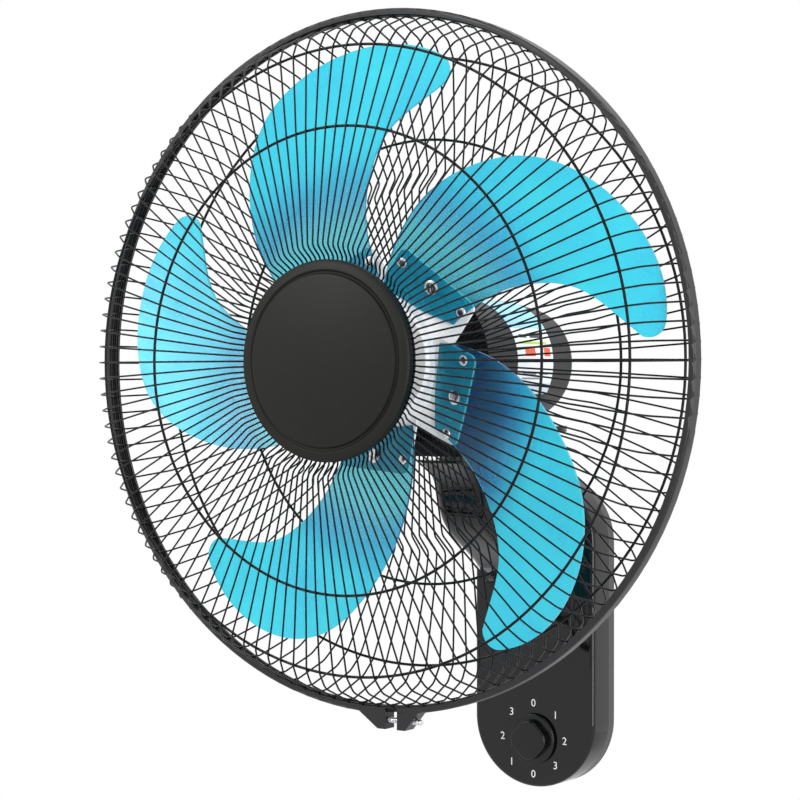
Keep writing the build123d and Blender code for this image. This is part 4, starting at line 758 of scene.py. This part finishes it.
def rivet_tree():
    """Domed rivet heads, each with its half of the shank; a point of the path is a dome's top."""
    tree = ShapeTree("rivets")
    radius = tree.ask("Head Radius", "Float", 0.0034)
    height = tree.ask("Head Height", "Float", 0.0012)
    shank = tree.ask("Shank Radius", "Float", 0.00215)
    length = tree.ask("Shank Length", "Float", 0.00195)
    ball = tree.node(
        "GeometryNodeMeshUVSphere",
        {},
        {"Segments": HEAD_SIDES, "Rings": DOME_RINGS, "Radius": 1.0},
    )
    ball = tree.moved(ball, Scale=tree.vector(radius, radius, height))
    # Twice as wide as the ball; its underside is level with the ball's middle.
    above = tree.box(radius * 4.0, radius * 4.0, height * 2.0)
    dome = tree.shared(tree.lifted(ball, 0.0 - height), above)
    stem = tree.bar(shank, length, 0.0 - height, SHANK_SIDES)
    return tree.close(tree.seated(tree.joined(dome, stem)))


# ---- Paths that the trees follow ------------------------------------------------------


def path_mesh(name, points, edges=()):
    """Points, and the edges between them, as a mesh."""
    mesh = bpy.data.meshes.new(name)
    mesh.from_pydata(points, edges, [])
    return mesh


def note(mesh, name, values, kind="FLOAT", part="value"):
    """Writes a number or a vector on each point of a path."""
    layer = mesh.attributes.new(name, kind, "POINT")
    for point, value in zip(layer.data, values):
        setattr(point, part, value)


def wire_path(name, points):
    """One bent wire at 12 o'clock, from corners given as (forward, radius, bend radius)."""
    corners = [(0.0, -forward, radius) for forward, radius, _ in points]
    mesh = path_mesh(name, corners, [(at, at + 1) for at in range(len(corners) - 1)])
    note(mesh, "bend_radius", [bend for _, _, bend in points])
    return mesh


def ring_path(name, rings):
    """Rings as (forward, ring radius, wire radius), one point each."""
    mesh = path_mesh(name, [(0.0, -forward, 0.0) for forward, _, _ in rings])
    note(mesh, "ring_radius", [radius for _, radius, _ in rings])
    note(mesh, "wire_radius", [thickness for _, _, thickness in rings])
    return mesh


# What the area of a round face made of straight sides may be, as shares of its circle's.
LEAST_ROUND = 0.93
MOST_ROUND = 1.01


def round_tops(name, node, radius):
    """A path with a point at the middle of each flat round face of this radius on a CAD node."""
    shape = merged(node)
    full = math.pi * radius**2
    low, high = LEAST_ROUND * full, MOST_ROUND * full
    tops = [face for face in shape.faces if low < face.calc_area() < high]
    spots = [face.calc_center_bounds() for face in tops]
    facings = [face.normal.copy() for face in tops]
    shape.free()
    mesh = path_mesh(name, spots)
    note(mesh, "facing", facings, "FLOAT_VECTOR", "vector")
    return mesh


def fixings(node, tree, head_radius, **sizes):
    """Shows a CAD node of equal screws or rivets by a tree, one on each of their heads."""
    made = grown(
        node + "_fixings",
        tree,
        round_tops(node + "_tops", node, head_radius),
        finish=finish_for(NODE_SLOT[node]),
        head_radius=head_radius,
        **sizes,
    )
    show(node + "_fixings", smoothed(made), node, replaces=[node])


# ---- Sizes and colours that a user may change -----------------------------------------


class GuardSizes(bpy.types.PropertyGroup):
    """Sizes of the wire guards."""

    wires: bpy.props.IntProperty(
        name="Wires", description="Bent wires in each guard", default=120, min=24
    )
    wire_radius: bpy.props.FloatProperty(
        name="Wire radius",
        description="Radius of a bent wire",
        default=0.0006,
        subtype="DISTANCE",
        unit="LENGTH",
        precision=5,
    )
    ring_wire_radius: bpy.props.FloatProperty(
        name="Ring wire radius",
        description="Radius of the rings' wire",
        default=0.0009,
        subtype="DISTANCE",
        unit="LENGTH",
        precision=5,
    )
    end_wire_radius: bpy.props.FloatProperty(
        name="End ring wire radius",
        description="Radius of the thick ring under the hoop",
        default=0.002,
        subtype="DISTANCE",
        unit="LENGTH",
        precision=5,
    )
    bend_radius: bpy.props.FloatProperty(
        name="Bend radius",
        description="Radius of a wire's bends",
        default=0.005,
        subtype="DISTANCE",
        unit="LENGTH",
        precision=4,
    )
    knee_radius: bpy.props.FloatProperty(
        name="Knee radius",
        description="Radius of a wire's wide bend beside the hoop",
        default=0.012,
        subtype="DISTANCE",
        unit="LENGTH",
        precision=4,
    )


class FanColours(bpy.types.PropertyGroup):
    """Colours of the fan's main mouldings."""

    base_colour: bpy.props.FloatVectorProperty(
        name="Base",
        description="Gloss plastic of the base and the neck",
        default=shade(7, 7, 8),
        subtype="COLOR",
        size=4,
    )
    hoop_colour: bpy.props.FloatVectorProperty(
        name="Hoop",
        description="Plastic of the guard's hoop",
        default=shade(26, 26, 28),
        subtype="COLOR",
        size=4,
    )
    cap_colour: bpy.props.FloatVectorProperty(
        name="Cap",
        description="Plastic of the cap on the front guard",
        default=shade(18, 18, 15),
        subtype="COLOR",
        size=4,
    )
    blade_root: bpy.props.FloatVectorProperty(
        name="Blade root",
        description="Tint of the blades near the hub",
        default=shade(130, 250, 242),
        subtype="COLOR",
        size=4,
    )
    blade_tip: bpy.props.FloatVectorProperty(
        name="Blade tip",
        description="Tint of the blades near their tips",
        default=shade(66, 234, 242),
        subtype="COLOR",
        size=4,
    )
    blade_far: bpy.props.FloatVectorProperty(
        name="Blade marks",
        description="Tint of the flow marks towards the tips",
        default=shade(25, 150, 235),
        subtype="COLOR",
        size=4,
    )
    # Painted shade: a navy tint near the hub that stands in for the dark motor seen through the
    # blade.
    blade_deep: bpy.props.FloatVectorProperty(
        name="Blade painted shade",
        description="Tint that shows near the hub where something dark stands behind",
        default=shade(8, 86, 205),
        subtype="COLOR",
        size=4,
    )
    blade_clearness: bpy.props.FloatProperty(
        name="Blade clearness",
        description="Share of the light that passes through a blade",
        default=0.3,
        min=0.0,
        max=1.0,
        subtype="FACTOR",
    )
    root_clearness: bpy.props.FloatProperty(
        name="Root clearness",
        description="Share of the light that passes through a blade near the hub",
        default=0.83,
        min=0.0,
        max=1.0,
        subtype="FACTOR",
    )


class StudioSettings(bpy.types.PropertyGroup):
    """The camera and the lamps."""

    azimuth: bpy.props.FloatProperty(
        name="Azimuth",
        description="How far the camera stands to the right of straight ahead",
        default=math.radians(33.15),
        subtype="ANGLE",
        unit="ROTATION",
    )
    elevation: bpy.props.FloatProperty(
        name="Elevation",
        description="How far the camera stands above the head's axis",
        default=math.radians(0.47),
        subtype="ANGLE",
        unit="ROTATION",
    )
    distance: bpy.props.FloatProperty(
        name="Distance",
        description="From the camera to the middle of the hoop",
        default=1.4576,
        subtype="DISTANCE",
        unit="LENGTH",
    )
    slide_right: bpy.props.FloatProperty(
        name="Slide right",
        description="How far the camera is moved along the picture's width",
        default=0.0127,
        subtype="DISTANCE",
        unit="LENGTH",
    )
    slide_up: bpy.props.FloatProperty(
        name="Slide up",
        description="How far the camera is moved along the picture's height",
        default=-0.0243,
        subtype="DISTANCE",
        unit="LENGTH",
    )
    lens: bpy.props.FloatProperty(
        name="Lens",
        description="Focal length for a sensor 36 mm wide",
        default=103.77,
        subtype="DISTANCE_CAMERA",
    )
    ambient: bpy.props.FloatProperty(
        name="Ambient",
        description="Brightness of the soft light from all round",
        default=1.05,
        min=0.0,
    )


# ---- Pieces ---------------------------------------------------------------------------


class FAN_OT_base(bpy.types.Operator):
    """Builds the upright base: gloss cover, rear half, tilt clevis and their bolts"""

    bl_idname = "fan.base"
    bl_label = "Base"
    bl_options = {"REGISTER", "UNDO"}

    def execute(self, context):
        dress("front_cover", SOFT_EDGE)
        dress("rear_housing", SLIGHT_EDGE)
        dress("tilt_clevis", FULL_EDGE)
        for node in ("tilt_bolt", "tilt_nut", "tilt_washers", "cord_grommet"):
            dress(node, FINE_EDGE)
        return {"FINISHED"}


class FAN_OT_arm(bpy.types.Operator):
    """Builds the neck arm that tilts on the clevis and carries the head"""

    bl_idname = "fan.arm"
    bl_label = "Neck arm"
    bl_options = {"REGISTER", "UNDO"}

    def execute(self, context):
        dress("neck_arm", SLIGHT_EDGE)
        return {"FINISHED"}


class FAN_OT_motor(bpy.types.Operator):
    """Builds the motor's covers, can, bracket, label and vented back, with their screws"""

    bl_idname = "fan.motor"
    bl_label = "Motor"
    bl_options = {"REGISTER", "UNDO"}

    def execute(self, context):
        dress("motor_front_cover", SLIGHT_EDGE)
        dress("motor_can", FINE_EDGE)
        dress("motor_bracket", SOFT_EDGE)
        dress("motor_rear_cover", FINE_EDGE)
        dress("motor_label")
        screws = cross_screw_tree()
        fixings(
            "rear_cover_screws",
            screws,
            head_radius=0.0035,
            head_height=0.0016,
            shank_radius=0.0015,
            shank_length=0.0528,
        )
        fixings(
            "link_screw",
            screws,
            head_radius=0.0034,
            head_height=0.0022,
            shank_radius=0.002,
            shank_length=0.00385,
        )
        return {"FINISHED"}


class FAN_OT_guards(bpy.types.Operator):
    """Builds the front and rear wire guards with their rings"""

    bl_idname = "fan.guards"
    bl_label = "Wire guards"
    bl_options = {"REGISTER", "UNDO"}

    # (forward, radius) of the rings and of a wire's other corners, in metres; where there are two,
    # the front guard's comes first.
    CAP_RING = (0.05465, 0.0585)
    MID_RINGS = ((0.0473, 0.1444), (-0.0514, 0.1444))
    OUTER_RINGS = ((0.0354, 0.1956), (-0.0366, 0.1956))
    END_RINGS = ((0.00225, 0.21895), (-0.00225, 0.21895))
    INNER_CORNERS = (
        ((0.0562, 0.056), (0.0562, 0.064), (0.0632, 0.071)),
        ((-0.0461, 0.044), (-0.0461, 0.113), (-0.0574, 0.124)),
    )
    KNEE = (0.0295, 0.2063)
    END = (0.0007, 0.2163)
    # How far forward the straight last length of a wire starts.
    END_RUN = 0.005
    # Between a wire and the ring that it crosses.
    GAP = 0.00015

    def beside(self, sizes, before, ring, after, face):
        """Corner of a wire that bends over the outside of a ring, between two other corners."""
        turn_in = math.atan2(ring[1] - before[1], ring[0] - before[0])
        turn_out = math.atan2(after[1] - ring[1], after[0] - ring[0])
        heading = (turn_in + turn_out) / 2
        cut = sizes.bend_radius * (1 / math.cos((turn_out - turn_in) / 2) - 1)
        reach = face * (sizes.ring_wire_radius + sizes.wire_radius + self.GAP + cut)
        return (ring[0] + reach * math.sin(heading), ring[1] - reach * math.cos(heading))

    def corners(self, sizes, side, face):
        """A wire's corners as (forward, radius, bend radius), from its inner end to the hoop."""
        inner = self.INNER_CORNERS[side]
        middle, outer = self.MID_RINGS[side], self.OUTER_RINGS[side]
        knee = (face * self.KNEE[0], self.KNEE[1])
        bend = sizes.bend_radius
        crossings = (
            self.beside(sizes, inner[-1], middle, outer, face),
            self.beside(sizes, middle, outer, knee, face),
        )
        ends = ((face * self.END_RUN, self.END[1]), (face * self.END[0], self.END[1]))
        return (
            *((*corner, bend) for corner in inner + crossings),
            (*knee, sizes.knee_radius),
            *((*corner, bend) for corner in ends),
        )

    def execute(self, context):
        sizes = context.scene.guard_sizes
        always = {"centre": HEAD, "finish": finish_for("wire_black")}
        wire_tree = guard_wire_tree()
        ring_tree = guard_ring_tree()
        for number, (side, face) in enumerate((("front", 1), ("rear", -1))):
            wires = grown(
                side + "_guard_wires",
                wire_tree,
                wire_path(side + "_wire", self.corners(sizes, number, face)),
                wires=sizes.wires,
                wire_radius=sizes.wire_radius,
                **always,
            )
            node = side + "_guard_spokes"
            show(side + "_guard_wires", wires, node, replaces=[node])
            row = [self.MID_RINGS[number], self.OUTER_RINGS[number]]
            if side == "front":
                row.append(self.CAP_RING)
            thin = [(*ring, sizes.ring_wire_radius) for ring in row]
            thick = [(*self.END_RINGS[number], sizes.end_wire_radius)]
            rings = grown(
                side + "_guard_hoops",
                ring_tree,
                ring_path(side + "_rings", thin + thick),
                **always,
            )
            node = side + "_guard_rings"
            show(side + "_guard_hoops", rings, node, replaces=[node])
        dress("rear_guard_plate", SLIGHT_EDGE)
        dress("guard_lock_nut", SLIGHT_EDGE)
        return {"FINISHED"}


class FAN_OT_hoop(bpy.types.Operator):
    """Builds the split hoop that clamps the two guards, with its screw and nut"""

    bl_idname = "fan.hoop"
    bl_label = "Guard hoop"
    bl_options = {"REGISTER", "UNDO"}

    def execute(self, context):
        dress("guard_hoop", SOFT_EDGE)
        fixings(
            "hoop_screw",
            cross_screw_tree(),
            head_radius=0.0035,
            head_height=0.003,
            shank_radius=0.0019,
            shank_length=0.0265,
            pitch=0.0007,
        )
        dress("hoop_nut", FINE_EDGE)
        return {"FINISHED"}


class FAN_OT_cap(bpy.types.Operator):
    """Builds the round cap in the middle of the front guard"""

    bl_idname = "fan.cap"
    bl_label = "Front cap"
    bl_options = {"REGISTER", "UNDO"}

    def execute(self, context):
        dress("front_cap", SLIGHT_EDGE)
        dress("cap_back_plate", FINE_EDGE)
        return {"FINISHED"}


class FAN_OT_blades(bpy.types.Operator):
    """Builds the five clear blades, their hub, spinner and fixings"""

    bl_idname = "fan.blades"
    bl_label = "Blades"
    bl_options = {"REGISTER", "UNDO"}

    BLADES = 5

    def execute(self, context):
        for number in range(1, self.BLADES + 1):
            dress(f"blade_{number}", SOFT_EDGE)
        dress("blade_hub", SLIGHT_EDGE)
        dress("spinner_nut", SOFT_EDGE)
        fixings("blade_screws", cross_screw_tree(), head_radius=0.0046)
        fixings("blade_rivets", rivet_tree(), head_radius=0.0034)
        return {"FINISHED"}


class FAN_OT_knob(bpy.types.Operator):
    """Builds the speed knob and the numbers printed round it"""

    bl_idname = "fan.knob"
    bl_label = "Speed knob and dial"
    bl_options = {"REGISTER", "UNDO"}

    NUMBERS = "01230123"
    CENTRE = Vector((0.0, -0.0301, -0.076))
    REACH = 0.025
    HEIGHT = 0.0053
    # A number's height as a share of the size that its font is set to.
    FONT_SHARE = 0.7
    INK = 0.00006

    def execute(self, context):
        dress("speed_knob", SLIGHT_EDGE)
        ink = bmesh.new()
        for place, number in enumerate(self.NUMBERS):
            turn = math.tau * place / len(self.NUMBERS)
            writing = bpy.data.curves.new("dial number", "FONT")
            writing.body = number
            writing.align_x = "CENTER"
            writing.align_y = "CENTER"
            writing.size = self.HEIGHT / self.FONT_SHARE
            writing.extrude = self.INK
            writing.resolution_u = 4
            glyph = plain_mesh(placed("dial number", writing))
            spot = self.CENTRE + Vector(
                (self.REACH * math.sin(turn), 0.0, self.REACH * math.cos(turn))
            )
            glyph.transform(Matrix.Translation(spot) @ Matrix.Rotation(math.pi / 2, 4, "X"))
            ink.from_mesh(glyph)
        mesh = bpy.data.meshes.new("dial_numbers")
        ink.to_mesh(mesh)
        ink.free()
        show("dial_numbers", mesh, "front_cover", slot="dial_ink")
        return {"FINISHED"}


class FAN_OT_inside(bpy.types.Operator):
    """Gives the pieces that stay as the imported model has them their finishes"""

    bl_idname = "fan.inside"
    bl_label = "Inner pieces"
    bl_options = {"REGISTER", "UNDO"}

    def execute(self, context):
        for node, piece in frame["nodes"].items():
            if not piece.hide_render:
                piece.data.materials.clear()
                piece.data.materials.append(finish_for(NODE_SLOT[node]))
        return {"FINISHED"}


class FAN_OT_stage(bpy.types.Operator):
    """Sets up the pale floor, the white room, the lamps and the camera"""

    bl_idname = "fan.stage"
    bl_label = "Studio"
    bl_options = {"REGISTER", "UNDO"}

    WHITE = (1.0, 1.0, 1.0, 1.0)
    FLOOR_CENTRE = (0.0, -0.2, -0.6)
    FLOOR_RADIUS = 2.0
    FLOOR_SIDES = 96
    # What all lamps look at; then each lamp's name, place, width, height and power.
    LIT = Vector((0.0, -0.2, 0.1))
    LAMPS = (
        ("key", (-1.6, -2.6, 2.0), 1.6, 1.6, 54.0),
        ("fill", (2.6, -1.8, 0.3), 0.45, 2.0, 48.0),
        ("top", (0.3, 0.6, 2.6), 1.8, 1.8, 33.0),
    )
    # Width of the camera's sensor, in millimetres.
    SENSOR = 36.0

    def execute(self, context):
        self.floor()
        self.room(context.scene)
        self.lamps()
        self.camera(context.scene)
        return {"FINISHED"}

    def floor(self):
        disc = bmesh.new()
        bmesh.ops.create_circle(
            disc, cap_ends=True, segments=self.FLOOR_SIDES, radius=self.FLOOR_RADIUS
        )
        mesh = bpy.data.meshes.new("floor")
        disc.to_mesh(mesh)
        disc.free()
        mesh.transform(Matrix.Translation(self.FLOOR_CENTRE))
        finish = Finish("pale floor")
        clouds = finish.grain(3.0, 3.0)
        finish.set("Base Color", finish.mix(clouds, shade(206, 206, 207), shade(198, 198, 200)))
        finish.set("Roughness", 0.7 + clouds * 0.2)
        mesh.materials.append(finish.material)
        placed("floor", mesh)

    def room(self, scene):
        """A white room as the camera and reflections see it, that lights less or more."""
        world = bpy.data.worlds.new("white room")
        world.use_nodes = True
        world.node_tree.nodes.clear()
        sky = NodeMaker(world.node_tree)
        seen = sky.node("ShaderNodeLightPath", output="Is Camera Ray")
        seen = seen + seen.sibling("Is Glossy Ray") + seen.sibling("Is Transmission Ray")
        clear = sky.node("ShaderNodeBackground", {}, {"Color": self.WHITE, "Strength": 1.0})
        soft = sky.node(
            "ShaderNodeBackground", {}, {"Color": self.WHITE, "Strength": scene.studio.ambient}
        )
        both = sky.node("ShaderNodeMixShader", {}, {0: seen, 1: soft, 2: clear})
        sky.node("ShaderNodeOutputWorld", {}, {"Surface": both})
        scene.world = world

    def lamps(self):
        for name, place, width, height, power in self.LAMPS:
            lamp = bpy.data.lights.new(name, "AREA")
            lamp.shape = "RECTANGLE"
            lamp.size = width
            lamp.size_y = height
            lamp.energy = power
            holder = placed(name, lamp)
            holder.location = place
            facing = self.LIT - Vector(place)
            holder.rotation_euler = facing.to_track_quat("-Z", "Y").to_euler()

    def camera(self, scene):
        studio = scene.studio
        back = Vector(
            (
                math.sin(studio.azimuth) * math.cos(studio.elevation),
                -math.cos(studio.azimuth) * math.cos(studio.elevation),
                math.sin(studio.elevation),
            )
        )
        right = Vector((math.cos(studio.azimuth), math.sin(studio.azimuth), 0.0))
        above = back.cross(right)
        lens = bpy.data.cameras.new("camera")
        lens.sensor_width = self.SENSOR
        lens.lens = studio.lens
        holder = placed("camera", lens)
        holder.location = (
            HEAD + back * studio.distance + right * studio.slide_right + above * studio.slide_up
        )
        turned = Matrix((right, above, back)).transposed()
        holder.rotation_euler = turned.to_euler()
        scene.camera = holder
        scene.view_settings.view_transform = "Standard"


OPERATORS = (
    FAN_OT_base,
    FAN_OT_arm,
    FAN_OT_motor,
    FAN_OT_guards,
    FAN_OT_hoop,
    FAN_OT_cap,
    FAN_OT_blades,
    FAN_OT_knob,
    FAN_OT_inside,
    FAN_OT_stage,
)


class FAN_PT_panel(bpy.types.Panel):
    """Lists the fan's pieces, sizes and colours"""

    bl_label = "Wall fan"
    bl_idname = "FAN_PT_panel"
    bl_space_type = "VIEW_3D"
    bl_region_type = "UI"
    bl_category = "Wall fan"

    def draw(self, context):
        layout = self.layout
        for operator in OPERATORS:
            layout.operator(operator.bl_idname, text=operator.bl_label)
        for group in (
            context.scene.guard_sizes,
            context.scene.fan_colours,
            context.scene.studio,
        ):
            box = layout.box()
            for name in group.__annotations__:
                box.prop(group, name)


CLASSES = (GuardSizes, FanColours, StudioSettings, *OPERATORS, FAN_PT_panel)
GROUPS = {"guard_sizes": GuardSizes, "fan_colours": FanColours, "studio": StudioSettings}


def register():
    for item in CLASSES:
        bpy.utils.register_class(item)
    for name, group in GROUPS.items():
        setattr(bpy.types.Scene, name, bpy.props.PointerProperty(type=group))


def unregister():
    for name in GROUPS:
        delattr(bpy.types.Scene, name)
    for item in reversed(CLASSES):
        bpy.utils.unregister_class(item)


def main():
    register()
    bpy.ops.fan.base()
    bpy.ops.fan.arm()
    bpy.ops.fan.motor()
    bpy.ops.fan.guards()
    bpy.ops.fan.hoop()
    bpy.ops.fan.cap()
    bpy.ops.fan.blades()
    bpy.ops.fan.knob()
    bpy.ops.fan.inside()
    bpy.ops.fan.stage()


if __name__ == "__main__":
    main()
